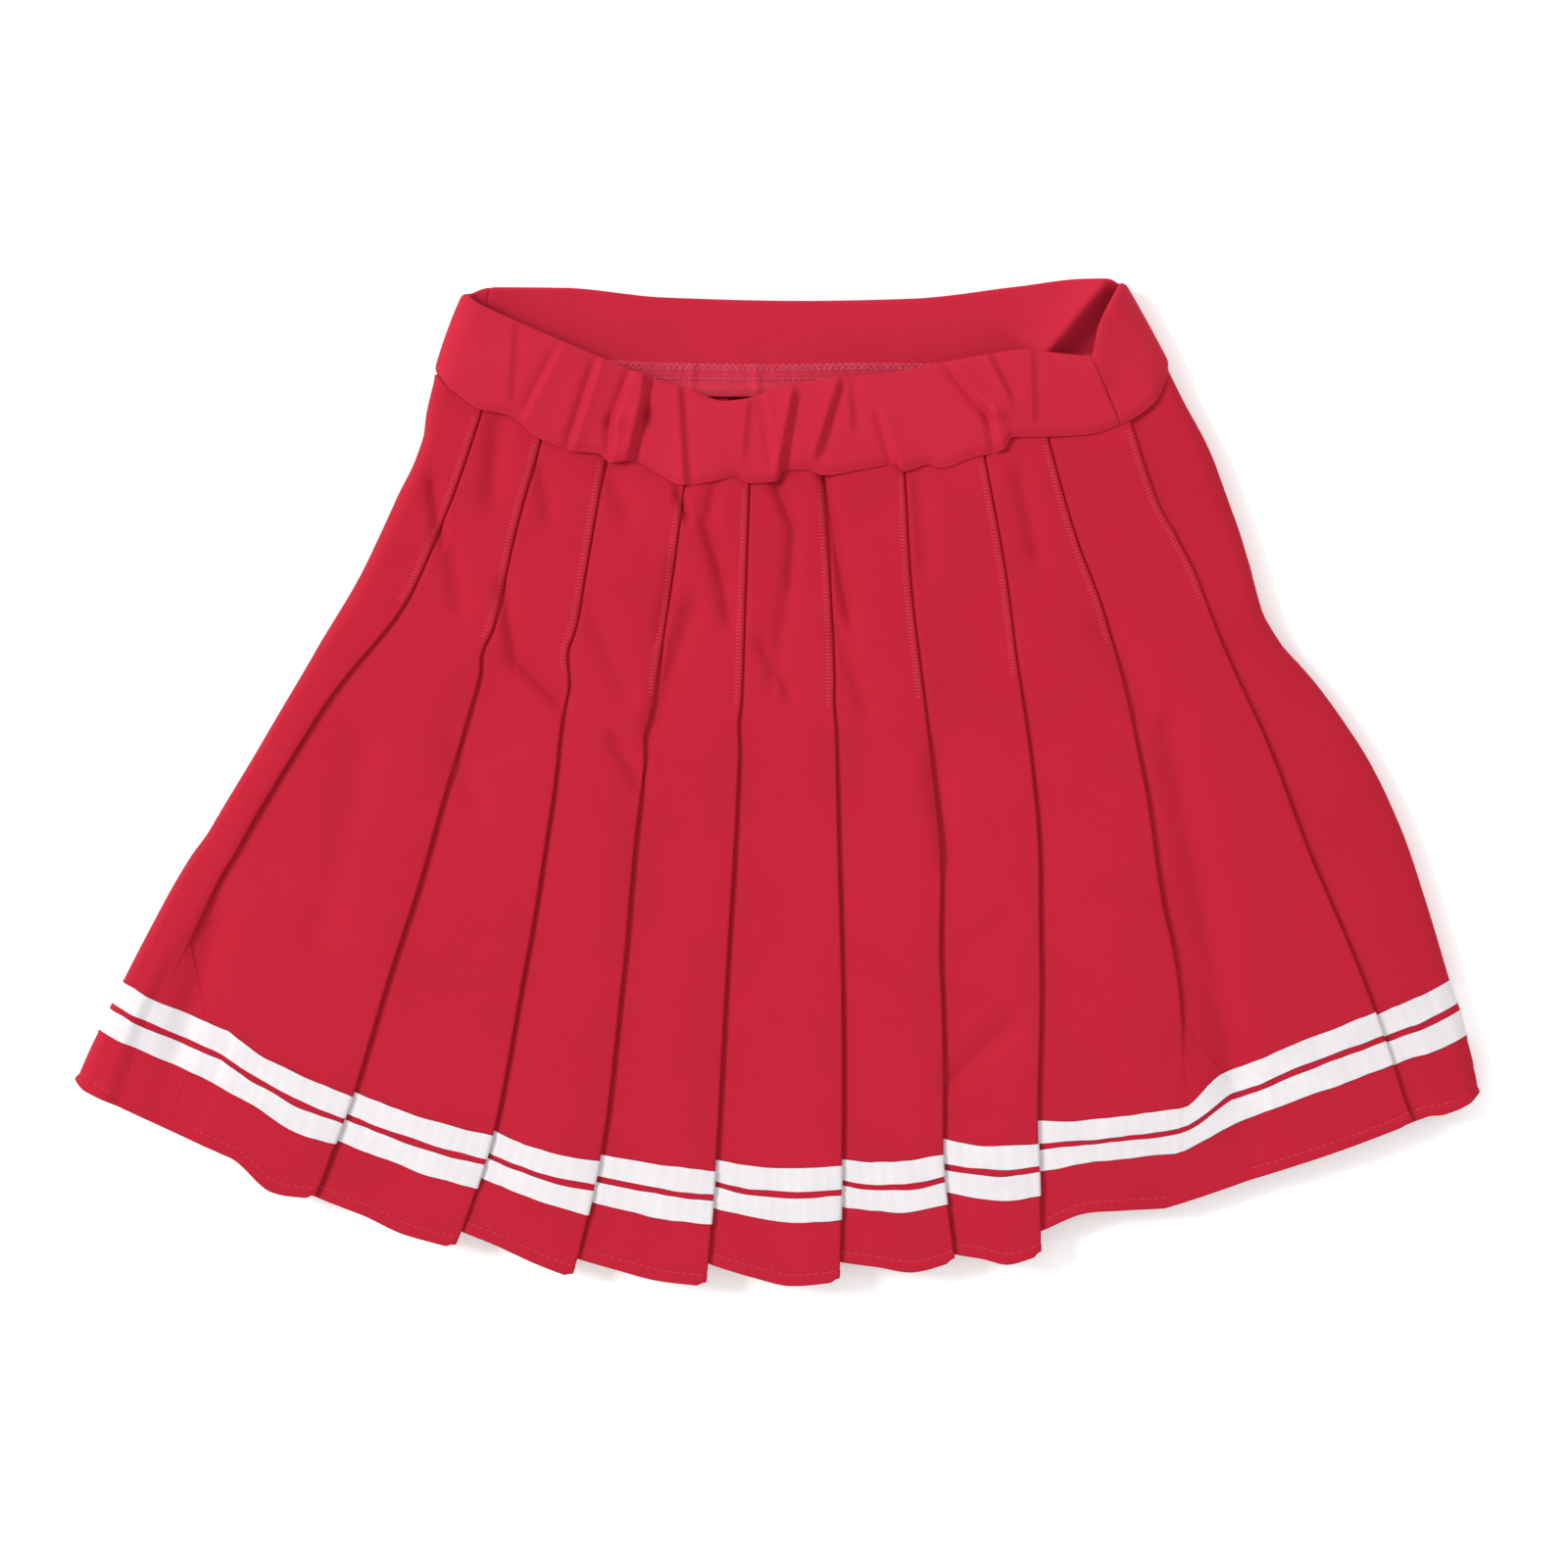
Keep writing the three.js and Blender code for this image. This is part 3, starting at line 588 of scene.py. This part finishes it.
def woven(name, dark, light, settings, thread, blotch, strength):
    """A woven cloth: threads that cross at a given spacing in millimetres, as fine ridges both ways along
    the cloth's own measures, with uneven dyeing in soft blotches of a given size."""
    material, tree, shader = start_material(name, settings)
    uv = add_node(tree, "ShaderNodeUVMap", {"uv_map": "UVMap"}).outputs["UV"]
    place_of = add_node(tree, "ShaderNodeTexCoord").outputs["Object"]
    scale = WAVE_TURN / (thread * MM)
    wave = {"Scale": scale, "Distortion": 0.6, "Detail": 1.0, "Detail Scale": 0.3}
    warp, weft = (add_node(tree, "ShaderNodeTexWave", {"bands_direction": way, **wave}, {"Vector": uv})
                  for way in "XY")
    add = {"operation": "ADD"}
    grain = add_node(tree, "ShaderNodeMath", add, {0: warp.outputs["Fac"], 1: weft.outputs["Fac"]})
    fuzz = add_node(tree, "ShaderNodeTexNoise", {"Scale": 1 / (1.6 * MM), "Detail": 3.0}, {"Vector": uv})
    rough = add_node(tree, "ShaderNodeMath", add, {0: grain.outputs[0], 1: fuzz.outputs["Fac"]})
    bump = add_node(tree, "ShaderNodeBump", {"Strength": strength, "Distance": 0.1 * thread * MM},
                    {"Height": rough.outputs[0]})
    dye = add_node(tree, "ShaderNodeTexNoise", {"Scale": 1 / (blotch * MM), "Detail": 4.0, "Roughness": 0.6},
                   {"Vector": place_of})
    fleck = add_node(tree, "ShaderNodeMath", {"operation": "MULTIPLY_ADD", 1: 0.35},
                     {0: fuzz.outputs["Fac"], 2: dye.outputs["Fac"]})
    share = add_node(tree, "ShaderNodeMapRange", {"From Min": 0.4, "From Max": 0.95},
                     {"Value": fleck.outputs[0]})
    colour = add_node(tree, "ShaderNodeMix", {"data_type": "RGBA", 6: linear(dark), 7: linear(light)},
                      {0: share.outputs["Result"]})
    tree.links.new(colour.outputs[2], shader.inputs["Base Color"])
    tree.links.new(bump.outputs["Normal"], shader.inputs["Normal"])
    return material


# Polyester stretch gabardine, piece-dyed scarlet: matt, with a faint bloom of light at its curves. Its
# threads lie 0.35 mm apart, drawn at 1.1 mm, because the real ones are too fine to show.
GABARDINE = {"Roughness": 0.85, "Specular IOR Level": 0.14, "Sheen Weight": 0.04, "Sheen Roughness": 0.5,
             "Sheen Tint": linear("#E04858")}
CLOTH_LOOK = woven("scarlet_polyester_gabardine", "#A6162B", "#AE192F", GABARDINE, thread=1.1, blotch=45,
                   strength=0.35)
# The band is the same gabardine, coloured lighter and pinker: painted sheen, and painted light that lifts the
# shade in its folds.
BAND_PAINTED_SHEEN_LOOK = woven("scarlet_gabardine_band_painted_sheen", "#AC1A31", "#B41F36", GABARDINE, thread=1.1, blotch=45,
                  strength=0.3)
# Woven polyester satin ribbon, bleached white: smoother than the cloth, with fine cross ribs 0.5 mm apart,
# drawn at 1.2 mm.
SATIN = {"Roughness": 0.5, "Specular IOR Level": 0.4, "Sheen Weight": 0.08, "Sheen Roughness": 0.4}
RIBBON_LOOK = woven("white_satin_ribbon", "#CBC7CA", "#D5D1D3", SATIN, thread=1.2, blotch=14, strength=0.18)
# Braided polyester elastic: ribbed and matt, raw white.
ELASTIC_LOOK = woven("braided_white_elastic", "#D8D4CF", "#E6E2DE", {"Roughness": 0.85}, thread=1.6,
                     blotch=20, strength=0.9)
# Non-woven fusible interfacing: felted grey-white fibres, dull.
INTERFACING_LOOK = woven("nonwoven_interfacing", "#CFCAC8", "#DEDAD8", {"Roughness": 0.9}, thread=2.4,
                         blotch=6, strength=0.5)
# The cut edge of the same gabardine, a little lighter because of the overlocked loops of thread over it.
SERGED_LOOK = woven("serged_gabardine_edge", "#B4243B", "#BE2C43",
                    {"Roughness": 0.85, "Specular IOR Level": 0.2}, thread=0.9, blotch=8, strength=0.2)
# Spun polyester sewing thread, dyed a shade lighter than the cloth, with a soft gloss on its twist.
TWIST = {"Roughness": 0.6, "Specular IOR Level": 0.4}
THREAD_LOOK = woven("spun_polyester_thread", "#B92F46", "#C33B51", TWIST, thread=0.4, blotch=12, strength=0.4)
OVERLOCK_LOOK = woven("overlocking_thread", "#BC3850", "#CC5068", TWIST, thread=0.4, blotch=12, strength=0.4)

# ---- The two pleated layers ------------------------------------------------------------------------------
# The two layers are cut across into gores, which share the columns at their joints.
HEM_TURN = 4.6  # depth of the turned hem, where its stitching runs
HEM_ROUND = 0.9  # the hem's edge is rounded over this depth


def cloth_rows(length, count):
    """Rows from just above the waist seam to the hem, closer together where the hem's edge is rounded."""
    edge = 1 - np.array([HEM_TURN + 1, HEM_TURN + 0.4, HEM_TURN, HEM_TURN - 0.4, HEM_TURN - 1, 2.4, HEM_ROUND,
                         0.5, 0.2, 0.05, 0]) / length
    return np.concatenate([np.linspace(-0.005, edge[0] - 0.004, count), edge])


def cloth_half(rows, length):
    """Half the thickness down the rows: the turned hem is thicker, dented at its stitches, and rounded."""
    up = (1 - rows) * length
    turned = 0.2 * ease(HEM_TURN + 0.5, HEM_TURN - 0.6, up) - 0.16 * np.exp(-(((up - HEM_TURN) / 0.5) ** 2))
    rounding = np.sqrt(np.clip(1 - (1 - np.minimum(up / HEM_ROUND, 1)) ** 2, 0.01, 1))
    return ((CLOTH / 2 + turned) * rounding)[:, None]


def whole_layer(layer, rows):
    """The middle surface of a layer all the way across, and the columns where its gores start and end."""
    grids = [gore_points(layer, k, rows) for k in range(1, PANELS + 1)]
    ends = np.cumsum([0] + [grid.shape[1] - 1 for grid in grids])
    return np.concatenate([grid[:, :-1] for grid in grids[:-1]] + [grids[-1]], axis=1), ends


for layer, count, under in ((FRONT, 150, "back_panel_06_cloth"), (BACK, 80, "floor")):
    rows = cloth_rows(layer["length"], count)
    half = cloth_half(rows, layer["length"])
    whole, ends = whole_layer(layer, rows)
    normals = outward(whole)
    for k in range(1, PANELS + 1):
        name = f"{layer['name']}_panel_{k:02d}"
        span = slice(ends[k - 1], ends[k] + 1)
        cloth_piece(f"{name}_cloth", whole[:, span], half, CLOTH_LOOK, [name],
                    normals[:, span])

# ---- Ribbons ---------------------------------------------------------------------------------------------
RIBBON_WIDTH = 9.6
RIBBON_HALF = 0.15  # half its thickness
RIBBON_OFFSET = CLOTH / 2 + 0.05 + RIBBON_HALF  # from the middle of the cloth to the middle of the ribbon
RIBBON_BOTTOMS = {"lower": 25.4, "upper": 37.6}  # each ribbon's lower edge above the hem
RIBBON_ROWS = np.array([0, 0.08, 0.3, 1, 2.2, 3.5, 4.8, 6.1, 7.4, 8.6, 9.3, 9.52, 9.6]) / RIBBON_WIDTH

for layer in (FRONT, BACK):
    for level, bottom in RIBBON_BOTTOMS.items():
        rows = 1 - (bottom + RIBBON_WIDTH * (1 - RIBBON_ROWS)) / layer["length"]
        grid = whole_layer(layer, rows)[0]
        grid = grid + outward(grid) * RIBBON_OFFSET
        measure = np.linalg.norm(np.diff(grid[6], axis=0, prepend=grid[6, :1]), axis=-1).cumsum()
        pucker = 0.1 * np.sin(measure / 2.1 + 2 * np.sin(measure / 9))
        pucker = pucker + 0.28 * np.sin(measure / 5.3) * np.sin(measure / 13)
        crease = 0.5 + 0.3 * np.sin(measure / 0.9 + 2 * np.sin(measure / 11)) + 0.2 * np.sin(measure / 2.3)
        side = (2 * RIBBON_ROWS - 1)[:, None]
        grid[..., 1] -= side * np.abs(side) * pucker[None] * 0.8
        grid[..., 2] += layer["facing"] * 0.34 * crease[None] * (0.5 + 0.5 * side**2)
        half = RIBBON_HALF * np.sqrt(np.clip(1 - (np.abs(side) ** 12), 0.05, 1))
        cloth_piece(f"{layer['name']}_ribbon_{level}_band", grid, half, RIBBON_LOOK,
                    [f"{layer['name']}_ribbon_{level}"])

# ---- Seam allowances inside the side folds ---------------------------------------------------------------
for name, edge in (("left", -1), ("right", 1)):
    t = np.linspace(0.02, 0.98, 90)[:, None]
    columns = edge * (half_width(t) - np.linspace(1.4, 9.4, 8)[None])
    flat = place(FRONT, columns, 0.0, 0.0, t)
    flat[..., 2] = SIDE_LEVEL + 0.15 * np.sin(t * 60)
    if edge < 0:
        flat = flat[:, ::-1]
    cloth_piece(f"{name}_side_allowance_strip", flat, CLOTH / 2, SERGED_LOOK,
                [f"{name}_side_seam_allowance"])

# ---- Waistband -------------------------------------------------------------------------------------------
BAND_RADIUS = 6.6  # of the side folds, in the middle of the band
CASING = 1.3  # from the middle of the band to each of its plies
INNER_ROWS = 34  # down the inner ply

# Top edge of the band, near side and far side: share across, x, y.
NEAR_TOP = [(-1, -128.6, 198.6), (-0.95, -121, 194.2), (-0.893, -112.6, 190.2), (-0.78, -97, 183.4),
            (-0.714, -87.7, 179.4), (-0.62, -75, 174), (-0.53, -62, 168.6), (-0.43, -48.5, 163.6),
            (-0.335, -36.5, 160), (-0.24, -22.5, 155.2), (-0.19, -15, 155.8), (-0.069, 2, 161),
            (0.05, 18.5, 164.3), (0.2445, 45.5, 166.7), (0.417, 69, 171.2), (0.558, 88, 174.6),
            (0.6545, 101, 176.2), (0.761, 115, 174.5), (0.854, 127.5, 173.4), (0.9136, 130.5, 185),
            (0.967, 137, 198.5), (1, 140.5, 203.6)]
FAR_TOP = [(-1, -127.2, 200.6), (-0.9, -117, 203.2), (-0.7, -89, 203), (-0.4, -47, 199), (0, 10, 197.6),
           (0.3, 54.5, 198.5), (0.6, 97, 203.3), (0.85, 125.5, 206.4), (0.95, 136, 206.2), (1, 140.8, 204.4)]

# Tucks of the near side where the elastic gathers it: from (x, y) at the top to (x, y) at the seam,
# strength, and the side to which the crease falls away steeply (1 right, -1 left).
TUCKS = [
    (-108.5, 183.2, -110.1, 158.8, 0.7, 1), (-90.1, 172.4, -100.9, 151.6, 1.4, -1),
    (-73.3, 167.6, -83.3, 137.2, 2.2, -1), (-58.5, 165.6, -65.7, 146.4, 2, -1),
    (-65.7, 146.4, -66.5, 134, 2, -1), (-54.9, 164.8, -57.3, 150, 2.4, 1),
    (-57.3, 150, -61.7, 132.4, 2.6, 1), (-40.9, 158, -38.5, 122, 1.4, 1),
    (-12.9, 152.8, -14.5, 134.4, 0.7, 1), (-4.5, 156.4, 0.3, 128, 0.9, -1),
    (5.1, 156.4, -0.9, 125.2, 2.2, 1), (23.5, 161.2, 15.5, 136, 2, 1),
    (27.9, 163.2, 29.5, 146.4, 0.8, 1), (43.9, 147.2, 49.1, 129.6, 1.3, -1),
    (73, 168, 88, 150, 1.9, -1), (88, 150, 90.5, 136, 1.6, -1),
    (86, 172, 93, 158, 1.2, 1), (103, 172, 103.5, 150, 0.8, 1),
    (116, 171, 130, 161, 1, -1), (135, 184, 145, 170, 0.6, 1),
]


def tuck_relief(x, y):
    """Creases of the gathered side: each swells slowly up to its line and falls steeply beyond it."""
    height = np.zeros(np.broadcast(x, y).shape)
    for *stretch, strength, steep in TUCKS:
        off, past = off_stretch(x, y, *stretch)
        off = -steep * off
        rise = np.where(off < 0, np.exp(off / 5.0), np.exp(-off / 1.3))
        valley = 0.7 * np.exp(-(((off - 2.6) / 2.2) ** 2))
        height += 1.1 * strength * (rise - valley) * np.exp(-((past / 4.0) ** 2))
    return height


CREST = (133, 204)  # upper end of the crease at the right fold
CREST_RUN = (24, 28.5)  # how far left and down its lower end lies
CREST_LENGTH = 37.3
CREST_RISE = 8.0


def inner_crease(x, y):
    """The far side's inner ply buckles where the band turns round the right fold: it swells up to a
    diagonal crest and falls steeply beyond it."""
    along = ((CREST[0] - x) * CREST_RUN[0] + (CREST[1] - y) * CREST_RUN[1]) / CREST_LENGTH
    off = ((x - CREST[0]) * CREST_RUN[1] - (y - CREST[1]) * CREST_RUN[0]) / CREST_LENGTH
    past = np.maximum(0, np.maximum(-along, along - CREST_LENGTH))
    return np.where(off < 0, np.exp(off / 9.0), 2 - 2 * ease(-13, 13, off)) * np.exp(-((past / 5.0) ** 2))


def band_points(across, angle, fold, up, out):
    """Points of the band: station (across, angle round a side fold, which fold), height up the band from 0
    to 1, and distance outwards from its middle, all arrays that broadcast."""
    outwards = fold * np.sin(angle)
    x = across * (HALF_SEAM - BAND_RADIUS) + outwards * BAND_RADIUS
    share = x / HALF_SEAM
    far = (1 - np.cos(angle)) / 2
    bottom_x = WAIST_SHIFT + x - 2.4 * ease(0.8, 1, share) - 0.6 * ease(-0.8, -1, share)
    near_y = curve(bottom_x, WAIST_SEAM)
    far_y = mix(BACK_SEAM_Y, SIDE_SEAM_Y + 0.5, share**2) + WAIST_TILT * share
    bottom_y = mix(near_y, far_y, far)
    stations, near_x, near_top = np.array(NEAR_TOP).T
    far_stations, far_x, far_top = np.array(FAR_TOP).T
    top_x = mix(through(share, stations, near_x), through(share, far_stations, far_x), far)
    top_y = mix(through(share, stations, near_top), through(share, far_stations, far_top), far)
    slope = (2 * share * (SIDE_SEAM_Y - bottom_y) + WAIST_TILT) / HALF_SEAM
    px = mix(bottom_x, top_x, up) + outwards * out
    py = mix(bottom_y, top_y, up) + np.clip(slope, -0.3, 0.3) * outwards * out
    level = SIDE_LEVEL + np.cos(angle) * BAND_RADIUS
    pz = level + np.cos(angle) * out
    near = ease(0.35, 0, far)
    pz = pz + CREST_RISE * inner_crease(px, py) * ease(0.7, 1, far) * ease(0.9, -1.3, out)
    pz = pz + near * tuck_relief(px, py) * ease(1, 0.9, np.abs(share))
    pz = pz + near * 2.2 * ease(0.4, 1, up) * ease(0.72, 0.9, share) * ease(1, 0.95, share)
    return np.stack(np.broadcast_arrays(px, py, pz), axis=-1)


def stations_along(parts):
    """Joins straight and round stretches of band into arrays of across, angle and fold."""
    return tuple(np.concatenate([np.broadcast_to(part[i], part[3]) for part in parts]) for i in range(3))


NEAR = 0.0  # the angle round a side fold at which the near side lies
FAR = np.pi


def straight(angle, start, end, count):
    """A stretch of the near or the far side."""
    return (np.linspace(start, end, count), angle, np.sign(start + end) or 1.0, (count,))


def side_fold(fold, start, end, count):
    """The turn round the left (-1) or right (1) side fold, between two angles."""
    return (float(fold), np.linspace(start, end, count + 2)[1:-1], float(fold), (count,))


RIGHT_JOIN = 0.893  # where the two casings are joined, on the near side
LEFT_JOIN = -0.955  # and on the far side
GATHERED = stations_along([straight(NEAR, RIGHT_JOIN, -1, 420), side_fold(-1, NEAR, FAR, 14),
                           straight(FAR, -1, LEFT_JOIN, 7)])
SMOOTH = stations_along([straight(FAR, LEFT_JOIN, 1, 260), side_fold(1, FAR, NEAR, 14),
                         straight(NEAR, 1, RIGHT_JOIN, 26)])


def casing_section(puff):
    """Height up the band and distance outwards: the outer ply, swollen by what it holds, the fold at the
    top, and the inner ply."""
    radius = CASING / 36
    outer = np.concatenate([[0, 0.006, 0.02, 0.045], np.linspace(0.08, 1 - radius, 30)])
    turn = np.linspace(90, -90, 11)[1:-1] * np.pi / 180
    inner = np.linspace(1 - radius, 0.05, INNER_ROWS)
    swell = CASING + puff * np.sin(np.pi * np.clip(outer / 0.97, 0, 1)) ** 0.6
    swell = swell - 1.5 * np.exp(-((outer / 0.06) ** 2))
    up = np.concatenate([outer, 1 - radius + radius * np.cos(turn), inner])
    out = np.concatenate([swell, CASING * np.sin(turn), np.full(INNER_ROWS, -CASING)])
    return up[:, None], out[:, None]


def casing(name, stations, puff, node):
    """A folded casing along a stretch of the band, thinned towards its two ends."""
    across, angle, fold = (part[None] for part in stations)
    up, out = casing_section(puff)
    grid = band_points(across, angle, fold, up, out)
    ends = np.minimum(np.arange(grid.shape[1]), np.arange(grid.shape[1])[::-1])
    half = CLOTH / 2 * np.sqrt(np.clip(ends[None] / 2.0, 0.15, 1))
    # The band's colour carries painted sheen and painted light against the shade in its folds.
    cloth_piece(name, grid, half, BAND_PAINTED_SHEEN_LOOK, [node])


casing("gathered_band_casing", GATHERED, 0.9, "waistband_gathered_casing")
casing("smooth_band_casing", SMOOTH, 0.35, "waistband_smooth_casing")


def band_filling(name, stations, half, material, node):
    """A strip inside the casing, 5/6 of its height."""
    across, angle, fold = (part[None, 4:-4] for part in stations)
    up = np.linspace(0.09, 0.92, 16)[:, None]
    grid = band_points(across, angle, fold, up, 0.0 * up)
    cloth_piece(name, grid, half, material, [node])


band_filling("elastic_strip", GATHERED, 0.5, ELASTIC_LOOK, "waist_elastic")
band_filling("interfacing_strip", SMOOTH, 0.3, INTERFACING_LOOK, "waistband_interfacing")

# The serged waist seam allowances, pressed up against the inside of the band, and their overlocking.
SERGED_OUT = -(CASING + CLOTH / 2 + 0.15 + CLOTH / 2)
ALLOWANCE_UP = 0.29  # share of the band's height
OVERLAPS = (-0.33, -0.142)  # where two gores' seams cross the far allowance and thicken it


def allowance_grid(angle, count):
    """The near allowance, or the far one: it starts below the seam, narrows to the right and ripples."""
    across = np.linspace(0.95, -0.95, count)[None]
    if angle:
        across = -across
    up = mix(-0.09 if angle else 0.01, ALLOWANCE_UP, np.linspace(0, 1, 16)[:, None])
    up = up * (1 - (0.3 * ease(0.1, 0.6, across) if angle else 0))
    ripple = 0.12 * np.sin(across * 190) * (up / ALLOWANCE_UP)
    for middle in OVERLAPS:
        ripple = ripple + 0.9 * np.exp(-(((across - middle) / 0.012) ** 2))
    inwards = ripple + 1.4 * ease(0.07, -0.01, up) if angle else 0
    return band_points(across, angle, 1.0, up, SERGED_OUT - inwards)


cloth_piece("front_waist_allowance_strip", allowance_grid(NEAR, 200), CLOTH / 2, SERGED_LOOK,
            ["front_waist_seam_allowance"])
BACK_ALLOWANCE = allowance_grid(FAR, 360)
cloth_piece("back_waist_allowance_strip", BACK_ALLOWANCE, CLOTH / 2, SERGED_LOOK,
            ["back_waist_seam_allowance"])

surface = BACK_ALLOWANCE - outward(BACK_ALLOWANCE) * (CLOTH / 2 + 0.1)
upward = -outward(BACK_ALLOWANCE)
for name, row in (("overlock_chain_low", 8), ("overlock_chain_high", 12)):
    centres, along, up = stepped(surface[row], upward[row], 2.4)
    capsules(name, centres, along, up, 2.0, 0.55, 0.45, OVERLOCK_LOOK)
centres, along, up = stepped((surface[12] + surface[15]) / 2, upward[13], 1.3)
lean = np.where(np.arange(len(centres)) % 2, 1.0, -1.0)[:, None]
zigzag = np.cross(up, along) * 1.5 + along * lean
capsules("overlock_loops", centres, zigzag, up, 3.0, 0.45, 0.4, OVERLOCK_LOOK)

# ---- Stitching -------------------------------------------------------------------------------------------
STITCH_END = 0.285  # place down the skirt where the pleats' stitching ends


def face_columns(grid):
    """The columns of a gore's grid that lie across its visible face."""
    start = TUCK + UNDER
    return grid[:, start:start + FACE]


for k in range(1, PANELS):
    rows = np.linspace(0.012, STITCH_END, 70)
    grid = gore_points(FRONT, k, rows)
    normals = outward(grid)
    edge = face_columns(grid)
    up = face_columns(normals)
    # The stitches lie across the face, from about 1 mm to 3 mm left of the outer fold.
    width = np.linalg.norm(edge[:, -1] - edge[:, -3], axis=-1)[:, None]
    across = (edge[:, -1] - edge[:, -3]) / width
    line = edge[:, -1] - across * 1.2 + up[:, -2] * (CLOTH / 2 + 0.02)
    centres, _, rise = stepped(line, up[:, -2], 1.4)
    at = np.arange(len(centres)) / len(centres)
    sideways = between(at, np.linspace(0, 1, len(rows)), across)
    capsules(f"pleat_ladder_stitches_{k:02d}", centres, sideways, rise, 2.2, 0.36, 0.22, THREAD_LOOK)

for layer in (FRONT, BACK):
    for k in range(1, PANELS + 1):
        rows = 1 - np.array([HEM_TURN + 0.6, HEM_TURN, HEM_TURN - 0.6]) / layer["length"]
        grid = gore_points(layer, k, rows)
        normals = outward(grid)
        line = face_columns(grid)[1] + face_columns(normals)[1] * (CLOTH / 2 + 0.03)
        centres, along, rise = stepped(line, face_columns(normals)[1], 3.0, 1.0)
        name = f"{layer['name']}_hem_stitches_{k:02d}"
        capsules(name, centres, along, rise, 2.1, 0.36, 0.24, THREAD_LOOK)

# ---- Floor, light and camera -----------------------------------------------------------------------------


def simple_plane(name, size, z, material):
    """A level square round the middle of the frame."""
    mesh = bpy.data.meshes.new(name)
    s = size / 2
    mesh.from_pydata([(-s, -s, z), (s, -s, z), (s, s, z), (-s, s, z)], [], [(0, 1, 2, 3)])
    plane = bpy.data.objects.new(name, mesh)
    bpy.context.scene.collection.objects.link(plane)
    mesh.materials.append(material)


# Opal white studio board, fully matt, faintly lit from beneath.
BOARD_LOOK = start_material("white_studio_board", {"Base Color": linear("#FCFCFC"), "Roughness": 1.0,
                                                   "Specular IOR Level": 0.0, "Emission Strength": 0.13,
                                                   "Emission Color": linear("#FFFFFF")})[0]
simple_plane("floor", 8.0, -0.0004, BOARD_LOOK)

world = bpy.data.worlds.new("studio")
bpy.context.scene.world = world
world.use_nodes = True
backdrop = world.node_tree.nodes["Background"]
backdrop.inputs["Color"].default_value = (1.0, 1.0, 1.0, 1.0)
backdrop.inputs["Strength"].default_value = 0.98


def softbox(name, position, size, power):
    """A square area light that faces the middle of the skirt."""
    data = bpy.data.lights.new(name, "AREA")
    data.shape = "SQUARE"
    data.size = size
    data.energy = power
    lamp = bpy.data.objects.new(name, data)
    bpy.context.scene.collection.objects.link(lamp)
    lamp.location = position
    direction = -np.array(position)
    flat = np.hypot(direction[0], direction[1])
    turn = np.arctan2(direction[0], -direction[1]) + np.pi
    lamp.rotation_euler = (np.arctan2(flat, -direction[2]), 0.0, turn)


softbox("key_softbox", (-4.35, 1.5, 3.9), 1.6, 235.0)

camera_data = bpy.data.cameras.new("camera")
camera_data.lens = 90.0
camera_data.sensor_width = 36.0
camera_data.clip_end = 50.0
camera = bpy.data.objects.new("camera", camera_data)
bpy.context.scene.collection.objects.link(camera)
camera.location = (0.0023, 0.0001, 1.615)
bpy.context.scene.camera = camera
bpy.context.scene.view_settings.view_transform = "Standard"
